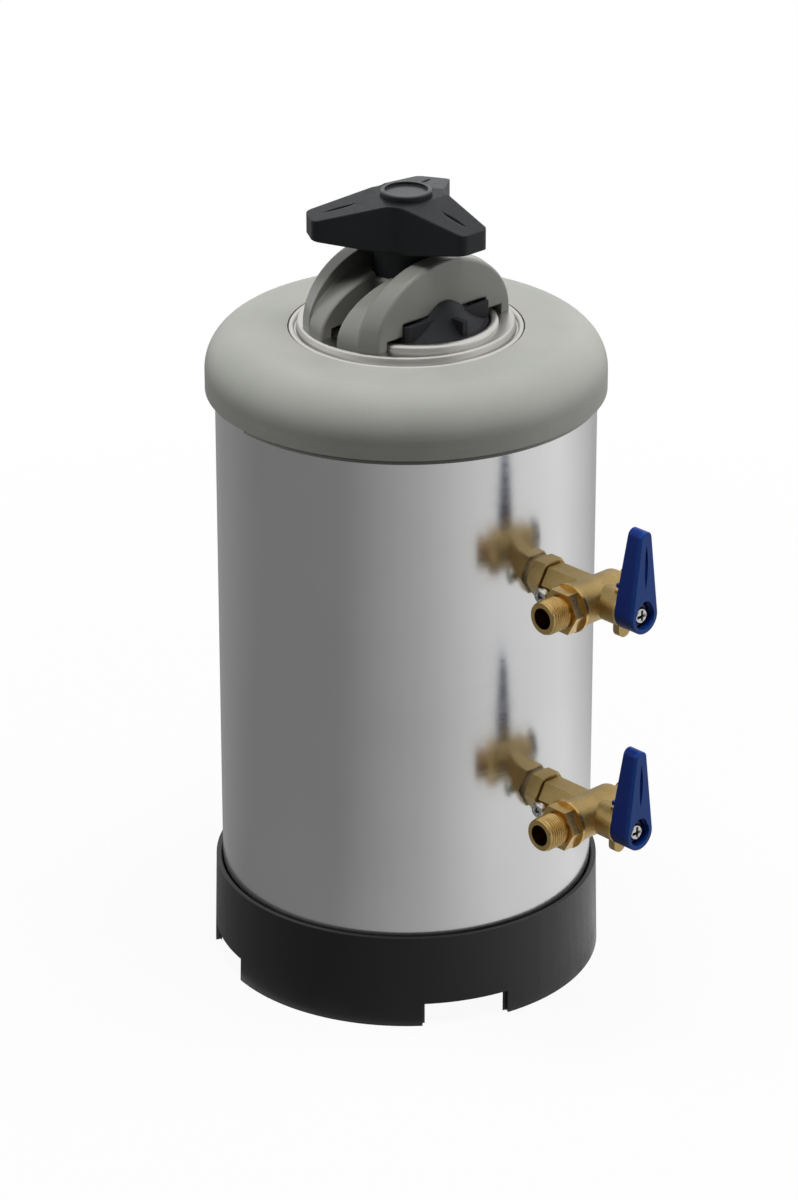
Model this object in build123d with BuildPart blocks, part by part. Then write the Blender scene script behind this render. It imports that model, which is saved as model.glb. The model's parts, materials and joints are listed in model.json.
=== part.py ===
from build123d import *
from math import atan2, cos, pi, radians, sin, sqrt
import os

# Manual water softener: a stainless steel tank on a moulded base, with a moulded top cap,
# an oval lid that seals from inside and is drawn up by a three-armed knob on a bridge,
# and two identical three-way ball valves on one side.
# Frame: origin on the tank's axis at the floor, +Z up, the valves reach out along +X
# and their threaded ports point along -Y. All sizes are in millimetres.

os.makedirs("parts", exist_ok=True)

# General clearances
overrun = 5.0
seat_gap = 0.1
running_gap = 0.05
loose_gap = 0.3

# Tank
tank_radius = 92.5
tank_wall = 1.0
shell_length = 276.0

# Base
base_height = 48.0
base_gap = 0.4
base_wall = 3.0
base_rim_wall = 2.9
base_flare = 1.1
ledge_height = 24.0
ledge_thickness = 5.0
ledge_width = 6.0
ledge_web = 1.6
notch_count = 4
notch_start_angle = -25.5
notch_width = 44.4
notch_height = 12.0
rim_break = 0.8
gusset_count = 12
gusset_start_angle = -10.5
gusset_thickness = 2.4
gusset_setback = 1.0

# Bottom head, a torispherical dish
dish_wall = 1.5
dish_low = 10.0
dish_crown_radius = 265.0
dish_knuckle_radius = 10.0
dish_skirt = 8.0

# Top head
head_wall = 1.5
head_straight = 3.0
dome_rise = 24.5
dome_flat_radius = 62.0
collar_radius = 56.8
bead_width = 2.8
bead_rise = 2.7
bead_crest = 1.4
groove_width = 0.8
groove_depth = 0.4
shelf_radius = 52.2
shelf_rise = 7.0
shelf_flare = 1.2
shelf_fillet = 1.0

# Oval mouth, long across the valves' direction of reach
mouth_long = 43.0
mouth_short = 37.4
mouth_rim_width = 4.2
mouth_rim_rise = 2.8
mouth_rim_round = 2.2
mouth_lip_round = 1.3

# Top cap
cap_overhang = 4.8
cap_wall = 3.0
cap_thickness = 3.7
cap_crown_radius = 76.0
cap_crown_drop = 0.2
cap_shoulder_drop = 21.0
cap_bottom = 297.7
cap_gap = 0.4
cap_foot_width = 3.3
cap_band_height = 2.8
cap_band_inset = 2.4
cap_skirt_height = 5.0
cap_notch_count = 2
cap_notch_start_angle = -103.5
cap_notch_width = 20.0

# Lid
lid_overlap = 4.2
lid_flange_thickness = 4.0
lid_seal_thickness = 2.5
lid_gap = 0.7
lid_plug_top_drop = 0.8
lid_wall = 3.2
crown_rise = 15.0
crown_long_shares = (0.95, 0.78, 0.685, 0.49)
crown_short_shares = (0.94, 0.64, 0.35, 0.16)
crown_rise_shares = (0.0, 0.5, 0.9, 1.0)
saddle_gap = 0.6
saddle_rise = 8.3
saddle_step_rise = 2.0
saddle_step_half = 26.6
fence_thickness = 2.5
fence_rise = 8.0
fence_half = 27.4
nose_rib_thickness = 3.0
nose_rib_rise = 7.5
nose_rib_end_gap = 1.6
lid_boss_radius = 12.0

# Stud and thrust washer
stud_radius = 6.0
stud_length = 61.5
stud_head_radius = 9.0
stud_head_thickness = 4.0
washer_radius = 15.0
washer_thickness = 1.5

# Bridge
bridge_foot_radius = 50.8
bridge_half_slot = 5.0
bridge_strip_end = 17.0
bridge_half_width = 26.6
bridge_strip_rise = 27.0
bridge_flange_rise = 36.0
bridge_foot_straight = 2.0
bridge_seat_rise = 23.5
bridge_pocket_radius = 16.2
bridge_boss_radius = 16.8
bridge_rim_gap = 3.0
bridge_notch_rise = 5.0
bridge_leg_half = 27.4
bridge_roof_rise = 11.2
bridge_edge_round = 1.0
bridge_outer_round = 1.8

# Knob
knob_stem_radius = 15.5
knob_stem_length = 14.5
knob_hub_height = 23.0
knob_arm_count = 3
knob_reach = 47.5
knob_tip_half = 8.2
knob_tip_round = 4.0
knob_crotch_radius = 18.0
knob_crotch_round = 11.0
knob_top_drop = 7.0
knob_under_rise = 6.4
knob_seat_radius = 13.2
knob_slot_start = 24.0
knob_slot_length = 17.5
knob_slot_half = 1.1
knob_slot_depth = 1.2
knob_disc_radius = 12.2
knob_disc_rise = 3.0
knob_disc_depth = 3.0
knob_disc_rim = 1.8
knob_disc_dish = 1.3
knob_disc_round = 0.8
insert_radius = 10.0
insert_length = 18.0
stud_hole_gap = 0.6

# Valves
hex_side_count = 6
valve_heights = {"lower": 116.5, "upper": 230.0}
spigot_radius = 6.5
spigot_bore_radius = 4.0
spigot_hole_gap = 0.3
spigot_inner_length = 12.0
spigot_outer_length = 15.5
spigot_flange_radius = 10.5
spigot_flange_thickness = 4.0
gasket_radius = 9.4
gasket_thickness = 1.7
nut_flats = 19.0
nut_length = 7.8
nut_break = 1.0
neck_gap = 0.6
neck_length = 27.4
neck_flats = 16.0
neck_socket_depth = 6.5
neck_bore_radius = 4.5
barrel_radius = 10.5
barrel_front = 17.0
barrel_rear = 16.0
barrel_round = 4.0
collar_rise = 0.9
collar_length = 2.0
bonnet_radius = 8.5
bonnet_reach = 19.8
bonnet_round = 0.8
chamber_radius = 8.2
chamber_rear = 9.0
outlet_radius = 4.2
drain_boss_radius = 7.4
drain_boss_length = 7.5
drain_boss_break = 0.6
drain_cap_radius = 8.2
drain_cap_length = 6.0
drain_cap_shank = 5.0
drain_cap_round = 1.2
lug_thickness = 4.0
lug_width = 7.6
lug_reach = 14.2
lug_setback = 0.8
top_tab_width = 6.0
top_tab_reach = 9.6
bleed_boss_radius = 3.0
bleed_boss_reach = 11.0
bleed_drop = 3.6
bleed_from_neck = 3.1
screw_radius = 2.0
screw_head_radius = 4.0
screw_head_height = 2.7
screw_head_round = 1.2
bleed_screw_depth = 4.0

# Port adaptor
port_thread_radius = 8.33
port_thread_length = 11.2
port_thread_break = 0.8
port_bore_radius = 5.3
port_hex_flats = 20.0
port_hex_length = 6.2
port_washer_radius = 12.0
port_washer_thickness = 1.5
port_shank_radius = 8.1

# Ball, seats and stem
ball_radius = 7.2
ball_bore_radius = 4.0
ball_gap = 0.3
seat_depth = 3.8
seat_bore_radius = 4.2
stem_radius = 4.5
stem_shoulder_radius = 5.0
stem_shoulder_length = 1.6
stem_pocket_gap = 0.3
stem_tang_width = 3.0
stem_tang_half = 4.0
stem_tang_length = 2.2
stem_slot_gap = 0.2
stem_setback = 0.3
stem_flat_half = 3.4
stem_screw_depth = 9.0
ring_section_radius = 0.55
ring_groove_depth = 1.1
ring_groove_width = 1.4
ring_setback = 8.0

# Lever
lever_gap = 0.5
lever_thickness = 11.7
lever_hub_radius = 8.45
lever_tip_radius = 3.4
lever_reach = 40.0
lever_back_taper = 3.0
lever_recess_radius = 6.2
lever_recess_top_radius = 4.6
lever_recess_rise = 3.6
lever_recess_depth = 5.5
lever_wall = 2.0
lever_face_wall = 2.6
lever_groove_start = 14.0
lever_groove_length = 23.0
lever_groove_half = 1.1
lever_groove_depth = 0.9
lever_nub_height = 14.5
lever_nub_side = 5.7
lever_nub_size = 2.0
lever_nub_out = 1.0
lever_edge_round = 0.6
lever_washer_radius = 5.5
lever_washer_thickness = 0.8

# Strainers, riser tube and resin bed
strainer_radius = 9.0
strainer_length = 30.0
strainer_wall = 1.6
strainer_socket = 7.8
strainer_slot_count = 8
strainer_slot_width = 1.2
strainer_slot_margin = 5.0
riser_radius = 7.5
riser_bore_radius = 5.5
riser_socket_radius = 8.5
riser_bend = 18.0
riser_offset = 30.0
basket_radius = 16.0
basket_bottom = 24.0
basket_height = 28.0
basket_wall = 2.0
basket_slot_count = 12
basket_slot_width = 1.6
basket_slot_margin = 5.0
riser_lap = 8.0
resin_top = 200.0

# Levels and places that follow from the sizes above
base_rim_radius = tank_radius + base_gap + base_rim_wall
base_foot_radius = base_rim_radius + base_flare
cap_radius = tank_radius + cap_overhang
weld_height = ledge_height + shell_length
head_flat = weld_height + head_straight + dome_rise
shelf_height = head_flat + shelf_rise
rim_height = shelf_height + mouth_rim_rise
lid_seat = shelf_height - head_wall
lid_flange_top = lid_seat - lid_seal_thickness
lid_top = rim_height - lid_plug_top_drop
bridge_seat = shelf_height + bridge_seat_rise
knob_bottom = bridge_seat + washer_thickness
knob_under = knob_bottom + knob_stem_length
knob_top = knob_under + knob_hub_height
nut_start = tank_radius + gasket_thickness
neck_start = nut_start + nut_length + neck_gap
valve_reach = neck_start + neck_length
bonnet_end = valve_reach + bonnet_reach
lever_back = bonnet_end + lever_gap
lever_face = lever_back + lever_thickness
lever_recess_floor = lever_face - lever_recess_depth
port_washer_face = barrel_front + port_washer_thickness
port_hex_face = port_washer_face + port_hex_length
port_end = port_hex_face + port_thread_length
spigot_inner_end = tank_radius - tank_wall - spigot_inner_length
spigot_outer_end = tank_radius + spigot_outer_length
chamber_top = valve_reach + ball_radius + ball_gap
stem_end = lever_recess_floor - stem_setback
stem_ring_place = chamber_top + ring_setback
lug_start = bonnet_end - lug_setback - lug_thickness
bleed_place = neck_start + bleed_from_neck - valve_reach
port_shank_end = chamber_rear
drain_end = barrel_rear + drain_boss_length


def finish(part, name):
    """Label one finished piece and write it to its own file."""
    part.label = name
    export_step(part, f"parts/{name}.step")


def radial_plane(angle):
    """A vertical plane through the tank's axis: local x is the radius, local y is the height."""
    turn = radians(angle)
    return Plane((0, 0, 0), x_dir=(cos(turn), sin(turn), 0), z_dir=(sin(turn), -cos(turn), 0))


def dish_points(side_radius, gap):
    """Tangent points of a torispherical dish's outline, drawn inwards by gap."""
    knuckle = dish_knuckle_radius - gap
    crown = dish_crown_radius - gap
    crown_centre = dish_low + dish_crown_radius
    knuckle_x = side_radius - dish_knuckle_radius
    centres = dish_crown_radius - dish_knuckle_radius
    knuckle_z = crown_centre - sqrt(centres**2 - knuckle_x**2)
    slope = atan2(knuckle_x, crown_centre - knuckle_z)
    low = (0, crown_centre - crown)
    half = (crown * sin(slope / 2), crown_centre - crown * cos(slope / 2))
    tangent = (crown * sin(slope), crown_centre - crown * cos(slope))
    turn = (slope + pi / 2) / 2
    knee = (knuckle_x + knuckle * sin(turn), knuckle_z - knuckle * cos(turn))
    side = (knuckle_x + knuckle, knuckle_z)
    return low, half, tangent, knee, side


def dish_line(points):
    """The crown arc and the knuckle arc through a dish's tangent points."""
    low, half, tangent, knee, side = points
    ThreePointArc(low, half, tangent)
    ThreePointArc(tangent, knee, side)


def break_corners(start, end, flats, break_size):
    """Half outline, to be turned about the stem's line, that bevels a hexagon's corners."""
    corner = flats / sqrt(3)
    Polygon(
        (start, 0),
        (end, 0),
        (end, corner - break_size),
        (end - break_size / 2, corner),
        (start + break_size / 2, corner),
        (start, corner - break_size),
        align=None,
    )


# Tank shell: a straight tube with a hole for each valve's spigot
with BuildPart() as tank_shell:
    with BuildSketch(Plane.XY.offset(ledge_height)):
        Circle(tank_radius)
        Circle(tank_radius - tank_wall, mode=Mode.SUBTRACT)
    extrude(amount=shell_length)
    with BuildSketch(Plane.YZ):
        with Locations([(0, height) for height in valve_heights.values()]):
            Circle(spigot_radius + spigot_hole_gap)
    extrude(amount=tank_radius + overrun, mode=Mode.SUBTRACT)
finish(tank_shell.part, "tank_shell")

# Tank bottom: a dished head set into the shell's lower end
dish_side = tank_radius - tank_wall - seat_gap
dish_outer = dish_points(dish_side, 0)
dish_inner = dish_points(dish_side, dish_wall)
dish_skirt_top = dish_outer[-1][1] + dish_skirt
with BuildPart() as tank_bottom:
    with BuildSketch(Plane.XZ):
        with BuildLine():
            dish_line(dish_outer)
            Line(dish_outer[-1], (dish_side, dish_skirt_top))
            Line((dish_side, dish_skirt_top), (dish_side - dish_wall, dish_skirt_top))
            Line((dish_side - dish_wall, dish_skirt_top), dish_inner[-1])
            dish_line(dish_inner)
            Line(dish_inner[0], dish_outer[0])
        make_face()
    revolve(axis=Axis.Z)
finish(tank_bottom.part, "tank_bottom")

# Tank top: a dome under the cap, then the pressed bead, the raised shelf and the oval mouth
dome_base = weld_height + head_straight
dome_reach = tank_radius - dome_flat_radius
bead_base = head_flat + bead_rise
bead_inner = collar_radius - bead_width
groove_floor = bead_base - groove_depth
groove_inner = bead_inner - groove_width
under_flat = head_flat - head_wall
under_shelf_radius = shelf_radius - head_wall
with BuildPart() as tank_top:
    with BuildSketch(Plane.XZ):
        with BuildLine():
            Line((tank_radius, weld_height), (tank_radius, dome_base))
            EllipticalCenterArc((dome_flat_radius, dome_base), dome_reach, dome_rise, arc_size=90)
            Line((dome_flat_radius, head_flat), (collar_radius, head_flat))
            Line((collar_radius, head_flat), (collar_radius, bead_base))
            ThreePointArc(
                (collar_radius, bead_base),
                (collar_radius - bead_width / 2, bead_base + bead_crest),
                (bead_inner, bead_base),
            )
            Line((bead_inner, bead_base), (bead_inner, groove_floor))
            Line((bead_inner, groove_floor), (groove_inner, groove_floor))
            Line((groove_inner, groove_floor), (shelf_radius, shelf_height))
            Line((shelf_radius, shelf_height), (0, shelf_height))
            Line((0, shelf_height), (0, lid_seat))
            Line((0, lid_seat), (under_shelf_radius, lid_seat))
            Line((under_shelf_radius, lid_seat), (under_shelf_radius + shelf_flare, under_flat))
            Line((under_shelf_radius + shelf_flare, under_flat), (dome_flat_radius, under_flat))
            EllipticalCenterArc(
                (dome_flat_radius, dome_base),
                dome_reach - head_wall,
                dome_rise - head_wall,
                arc_size=90,
            )
            Line((tank_radius - head_wall, dome_base), (tank_radius - head_wall, weld_height))
            Line((tank_radius - head_wall, weld_height), (tank_radius, weld_height))
        make_face()
    revolve(axis=Axis.Z)
    shelf_edge = tank_top.edges().filter_by(GeomType.CIRCLE).filter_by(
        lambda edge: abs(edge.radius - shelf_radius) < seat_gap
    )
    fillet(shelf_edge, shelf_fillet)
    with BuildSketch(Plane.XY.offset(shelf_height)):
        Ellipse(mouth_long + mouth_rim_width, mouth_short + mouth_rim_width)
    extrude(amount=mouth_rim_rise)
    fillet(tank_top.faces().sort_by(Axis.Z)[-1].edges(), mouth_rim_round)
    with BuildSketch(Plane.XY.offset(lid_seat)):
        Ellipse(mouth_long, mouth_short)
    extrude(amount=mouth_rim_rise + head_wall + overrun, mode=Mode.SUBTRACT)
    fillet(tank_top.faces().sort_by(Axis.Z)[-1].inner_wires()[0].edges(), mouth_lip_round)
finish(tank_top.part, "tank_top")

# Base: a tapered skirt with a gusseted ledge under the shell and four floor notches
skirt_inner = tank_radius + base_gap
skirt_foot_inner = base_foot_radius - base_wall
ledge_inner = tank_radius - ledge_width
ledge_bottom = ledge_height - ledge_thickness
with BuildPart() as base:
    with BuildSketch(Plane.XZ):
        with BuildLine():
            Polyline(
                (base_foot_radius, 0),
                (base_rim_radius, base_height),
                (skirt_inner + rim_break, base_height),
                (skirt_inner, base_height - rim_break),
                (skirt_inner, ledge_height),
                (ledge_inner, ledge_height),
                (ledge_inner, ledge_height - ledge_web),
                (skirt_foot_inner, ledge_bottom),
                (skirt_foot_inner, 0),
                close=True,
            )
        make_face()
    revolve(axis=Axis.Z)
    with PolarLocations(base_foot_radius, notch_count, start_angle=notch_start_angle):
        Box(
            base_foot_radius - ledge_inner,
            notch_width,
            notch_height,
            align=(Align.CENTER, Align.CENTER, Align.MIN),
            mode=Mode.SUBTRACT,
        )
    for turn in range(gusset_count):
        with BuildSketch(radial_plane(gusset_start_angle + turn * 360 / gusset_count)):
            Polygon(
                (ledge_inner + gusset_setback, ledge_height - ledge_web),
                (skirt_foot_inner, notch_height),
                (skirt_foot_inner + base_wall / 2, notch_height),
                (skirt_foot_inner + base_wall / 2, ledge_height - ledge_web),
                align=None,
            )
        extrude(amount=gusset_thickness / 2, both=True)
finish(base.part, "base")

# Cap: a domed ring that stands on the tank top's flat, with a thin lower band
cap_inner = collar_radius + cap_gap
cap_top = head_flat + cap_thickness
cap_crown = cap_top - cap_crown_drop
cap_shoulder = cap_crown - cap_shoulder_drop
cap_band_radius = cap_radius - cap_band_inset
cap_bore = tank_radius + cap_gap
cap_foot_radius = cap_inner + cap_foot_width
cap_under = cap_crown - cap_wall
with BuildPart() as cap:
    with BuildSketch(Plane.XZ):
        with BuildLine():
            Line((cap_inner, head_flat), (cap_inner, cap_top))
            Line((cap_inner, cap_top), (cap_crown_radius, cap_crown))
            EllipticalCenterArc(
                (cap_crown_radius, cap_shoulder),
                cap_radius - cap_crown_radius,
                cap_shoulder_drop,
                arc_size=90,
            )
            Polyline(
                (cap_radius, cap_shoulder),
                (cap_radius, cap_bottom + cap_band_height),
                (cap_band_radius, cap_bottom + cap_band_height),
                (cap_band_radius, cap_bottom),
                (cap_bore, cap_bottom),
                (cap_bore, cap_bottom + cap_skirt_height),
                (cap_radius - cap_wall, cap_shoulder),
            )
            EllipticalCenterArc(
                (cap_crown_radius, cap_shoulder),
                cap_radius - cap_wall - cap_crown_radius,
                cap_shoulder_drop - cap_wall,
                arc_size=90,
            )
            Line((cap_crown_radius, cap_under), (cap_foot_radius, cap_under))
            Line((cap_foot_radius, cap_under), (cap_foot_radius, head_flat))
            Line((cap_foot_radius, head_flat), (cap_inner, head_flat))
        make_face()
    revolve(axis=Axis.Z)
    with BuildSketch(Plane.XY.offset(cap_bottom)):
        with PolarLocations(cap_bore, cap_notch_count, start_angle=cap_notch_start_angle):
            Rectangle(2 * overrun, cap_notch_width)
    extrude(amount=cap_band_height, mode=Mode.SUBTRACT)
finish(cap.part, "cap")

# Lid: an oval flange that seals under the mouth, a plug inside it and a ribbed crown
plug_long = mouth_long - lid_gap
plug_short = mouth_short - lid_gap
flange_long = mouth_long + lid_overlap
flange_short = mouth_short + lid_overlap
fence_start = bridge_half_width + saddle_gap
saddle = lid_top + saddle_rise
saddle_step = lid_top + saddle_step_rise
lid_bottom = lid_flange_top - lid_flange_thickness
saddle_reach = 2 * fence_start
fence_centre = fence_start + fence_thickness / 2
nose_rib_end = plug_long - nose_rib_end_gap
nose_rib_length = nose_rib_end - fence_start
nose_rib_centre = fence_start + nose_rib_length / 2
with BuildPart() as lid:
    with BuildSketch(Plane.XY.offset(lid_bottom)):
        Ellipse(flange_long, flange_short)
    extrude(amount=lid_flange_thickness)
    with BuildSketch(Plane.XY.offset(lid_flange_top)):
        Ellipse(plug_long, plug_short)
    extrude(amount=lid_top - lid_flange_top)
    for long_share, short_share, rise_share in zip(
        crown_long_shares, crown_short_shares, crown_rise_shares
    ):
        with BuildSketch(Plane.XY.offset(lid_top + crown_rise * rise_share)):
            Ellipse(plug_long * long_share, plug_short * short_share)
    loft()
    with BuildSketch(Plane.XY.offset(saddle)):
        Rectangle(saddle_reach, 2 * plug_short)
    extrude(amount=crown_rise, mode=Mode.SUBTRACT)
    with BuildSketch(Plane.XY.offset(saddle_step)):
        Rectangle(saddle_reach, 2 * plug_short)
        Rectangle(saddle_reach, 2 * saddle_step_half, mode=Mode.SUBTRACT)
    extrude(amount=crown_rise, mode=Mode.SUBTRACT)
    with BuildSketch(Plane.XY.offset(lid_flange_top)):
        with Locations((fence_centre, 0), (-fence_centre, 0)):
            Rectangle(fence_thickness, 2 * fence_half)
        Ellipse(plug_long, plug_short, mode=Mode.INTERSECT)
    extrude(amount=lid_top + fence_rise - lid_flange_top)
    with BuildSketch(Plane.XY.offset(lid_flange_top)):
        with Locations((nose_rib_centre, 0), (-nose_rib_centre, 0)):
            Rectangle(nose_rib_length, nose_rib_thickness)
    extrude(amount=lid_top + nose_rib_rise - lid_flange_top)
    with BuildSketch(Plane.XY.offset(lid_bottom)):
        Ellipse(plug_long - lid_wall, plug_short - lid_wall)
        Circle(lid_boss_radius, mode=Mode.SUBTRACT)
    extrude(amount=lid_top - lid_wall - lid_bottom, mode=Mode.SUBTRACT)
    with BuildSketch(Plane.XY.offset(lid_bottom)):
        Circle(stud_radius + seat_gap)
    extrude(amount=crown_rise + lid_top - lid_bottom + overrun, mode=Mode.SUBTRACT)
    with BuildSketch(Plane.XY.offset(lid_bottom)):
        Circle(stud_head_radius + seat_gap)
    extrude(amount=stud_head_thickness, mode=Mode.SUBTRACT)
finish(lid.part, "lid")

# Lid seal: a flat oval ring between the lid's flange and the mouth's underside
with BuildPart() as lid_seal:
    with BuildSketch(Plane.XY.offset(lid_flange_top)):
        Ellipse(flange_long - seat_gap, flange_short - seat_gap)
        Ellipse(plug_long + loose_gap, plug_short + loose_gap, mode=Mode.SUBTRACT)
    extrude(amount=lid_seal_thickness)
finish(lid_seal.part, "lid_seal")

# Stud: screwed up through the lid from below, its head in the lid's boss
with BuildPart() as lid_stud:
    with BuildSketch(Plane.XY.offset(lid_bottom)):
        Circle(stud_head_radius)
    extrude(amount=stud_head_thickness)
    with BuildSketch(Plane.XY.offset(lid_bottom)):
        Circle(stud_radius)
    extrude(amount=stud_length)
finish(lid_stud.part, "lid_stud")


def arch_line(half_width, rise):
    """A half oval standing on a short straight foot."""
    foot_top = shelf_height + bridge_foot_straight
    Line((-half_width, shelf_height), (half_width, shelf_height))
    Line((half_width, shelf_height), (half_width, foot_top))
    EllipticalCenterArc((0, foot_top), half_width, rise - bridge_foot_straight, arc_size=180)
    Line((-half_width, foot_top), (-half_width, shelf_height))


def arch_edges(builder, reach):
    """The arched edges of the faces at this distance from the middle, without the feet."""
    return builder.edges().filter_by(
        lambda edge: all(abs(abs(v.X) - reach) < seat_gap for v in edge.vertices())
        and edge.center().Z > shelf_height + seat_gap
    )


# Bridge: two arched cheeks with raised outer flanges, joined by a boss under the knob
bridge_roof = shelf_height + bridge_roof_rise
bridge_steps = (
    (bridge_half_slot, bridge_strip_rise),
    (bridge_strip_end, bridge_strip_rise),
    (bridge_strip_end, bridge_flange_rise),
    (bridge_half_width, bridge_flange_rise),
)
with BuildPart() as bridge:
    for side in (1, -1):
        for near, far in (bridge_steps[:2], bridge_steps[2:]):
            for reach, rise in (near, far):
                with BuildSketch(Plane.YZ.offset(side * reach)):
                    with BuildLine():
                        arch_line(sqrt(bridge_foot_radius**2 - reach**2), rise)
                    make_face()
            loft(ruled=True)
    for reach, size in (
        (bridge_half_width, bridge_outer_round),
        (bridge_half_slot, bridge_edge_round),
    ):
        fillet(arch_edges(bridge, reach), size)
    with BuildSketch(Plane.XY.offset(bridge_roof)):
        Circle(bridge_boss_radius)
    extrude(amount=bridge_seat - bridge_roof)
    with BuildSketch(Plane.XY.offset(bridge_seat)):
        Circle(bridge_pocket_radius)
    extrude(amount=bridge_flange_rise, mode=Mode.SUBTRACT)
    with BuildSketch(Plane.XY.offset(shelf_height)):
        Ellipse(
            mouth_long + mouth_rim_width + bridge_rim_gap,
            mouth_short + mouth_rim_width + bridge_rim_gap,
        )
    extrude(amount=bridge_notch_rise, mode=Mode.SUBTRACT)
    with BuildSketch(Plane.XY.offset(shelf_height)):
        Rectangle(2 * (bridge_half_width + overrun), 2 * bridge_leg_half)
    extrude(amount=bridge_roof_rise, mode=Mode.SUBTRACT)
    with BuildSketch(Plane.XY.offset(shelf_height)):
        Circle(stud_radius + stud_hole_gap)
    extrude(amount=bridge_flange_rise, mode=Mode.SUBTRACT)
finish(bridge.part, "bridge")

# Thrust washer between the bridge and the knob
with BuildPart() as thrust_washer:
    with BuildSketch(Plane.XY.offset(bridge_seat)):
        Circle(washer_radius)
        Circle(stud_radius + stud_hole_gap, mode=Mode.SUBTRACT)
    extrude(amount=washer_thickness)
finish(thrust_washer.part, "thrust_washer")

# Knob: three tapered arms that droop from a tall hub on a round stem
arm_step = 360 / knob_arm_count
crotch = radians(arm_step / 2)
crotch_point = (knob_crotch_radius * cos(crotch), knob_crotch_radius * sin(crotch))
tip_top = knob_top - knob_top_drop
tip_under = knob_under + knob_under_rise
arm_fall = knob_top_drop / (knob_reach - knob_seat_radius)
slot_height = knob_top - arm_fall * (knob_slot_start - knob_seat_radius)
with BuildPart() as knob:
    with BuildSketch(Plane.XY.offset(knob_under)) as arms:
        Circle(knob_crotch_radius)
        with PolarLocations(0, knob_arm_count):
            Polygon(
                (0, 0),
                (crotch_point[0], -crotch_point[1]),
                (knob_reach, -knob_tip_half),
                (knob_reach, knob_tip_half),
                crotch_point,
                align=None,
            )
        tips = arms.vertices().filter_by(
            lambda v: sqrt(v.X**2 + v.Y**2) > knob_reach
        )
        fillet(tips, knob_tip_round)
        crotches = arms.vertices().filter_by(
            lambda v: abs(sqrt(v.X**2 + v.Y**2) - knob_crotch_radius) < seat_gap
        )
        fillet(crotches, knob_crotch_round)
    extrude(amount=knob_hub_height)
    for turn in range(knob_arm_count):
        with BuildSketch(radial_plane(turn * arm_step)):
            Polygon(
                (knob_seat_radius, knob_top),
                (knob_reach, tip_top),
                (knob_reach, knob_top),
                align=None,
            )
            Polygon(
                (knob_stem_radius, knob_under),
                (knob_reach, tip_under),
                (knob_reach, knob_under),
                align=None,
            )
        extrude(amount=knob_reach, both=True, mode=Mode.SUBTRACT)
    with BuildSketch(Plane.XY.offset(knob_bottom)):
        Circle(knob_stem_radius)
    extrude(amount=knob_stem_length)
    with BuildSketch(Plane.XY.offset(knob_bottom)):
        Circle(insert_radius + seat_gap)
    extrude(amount=insert_length, mode=Mode.SUBTRACT)
    with BuildSketch(Plane.XY.offset(knob_bottom)):
        Circle(stud_radius + stud_hole_gap)
    extrude(amount=knob_top - knob_bottom, mode=Mode.SUBTRACT)
    with BuildSketch(Plane.XY.offset(knob_top - knob_disc_depth)):
        Circle(knob_disc_radius + seat_gap)
    extrude(amount=knob_disc_depth, mode=Mode.SUBTRACT)
    for turn in range(knob_arm_count):
        arm_direction = Vector(1, 0, 0).rotate(Axis.Z, turn * arm_step)
        slope = Vector(arm_direction.X, arm_direction.Y, -arm_fall)
        slot_origin = arm_direction * knob_slot_start + Vector(0, 0, slot_height)
        slot_plane = Plane(slot_origin, x_dir=slope, z_dir=slope.cross(arm_direction.cross(slope)))
        with BuildSketch(slot_plane):
            with BuildLine():
                for bulge in (knob_slot_half, -knob_slot_half):
                    ThreePointArc((0, 0), (knob_slot_length / 2, bulge), (knob_slot_length, 0))
            make_face()
        extrude(amount=-knob_slot_depth, mode=Mode.SUBTRACT)
finish(knob.part, "knob")

# Threaded insert moulded into the knob
with BuildPart() as knob_insert:
    with BuildSketch(Plane.XY.offset(knob_bottom)):
        Circle(insert_radius)
        Circle(stud_radius + running_gap, mode=Mode.SUBTRACT)
    extrude(amount=insert_length)
finish(knob_insert.part, "knob_insert")

# Dished disc pressed into the top of the knob's hub
with BuildPart() as knob_disc:
    with BuildSketch(Plane.XY.offset(knob_top - knob_disc_depth)):
        Circle(knob_disc_radius)
    extrude(amount=knob_disc_depth + knob_disc_rise)
    fillet(knob_disc.faces().sort_by(Axis.Z)[-1].edges(), knob_disc_round)
    with BuildSketch(Plane.XY.offset(knob_top + knob_disc_rise)):
        Circle(knob_disc_radius - knob_disc_rim)
    extrude(amount=-knob_disc_dish, mode=Mode.SUBTRACT)
finish(knob_disc.part, "knob_disc")


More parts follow.
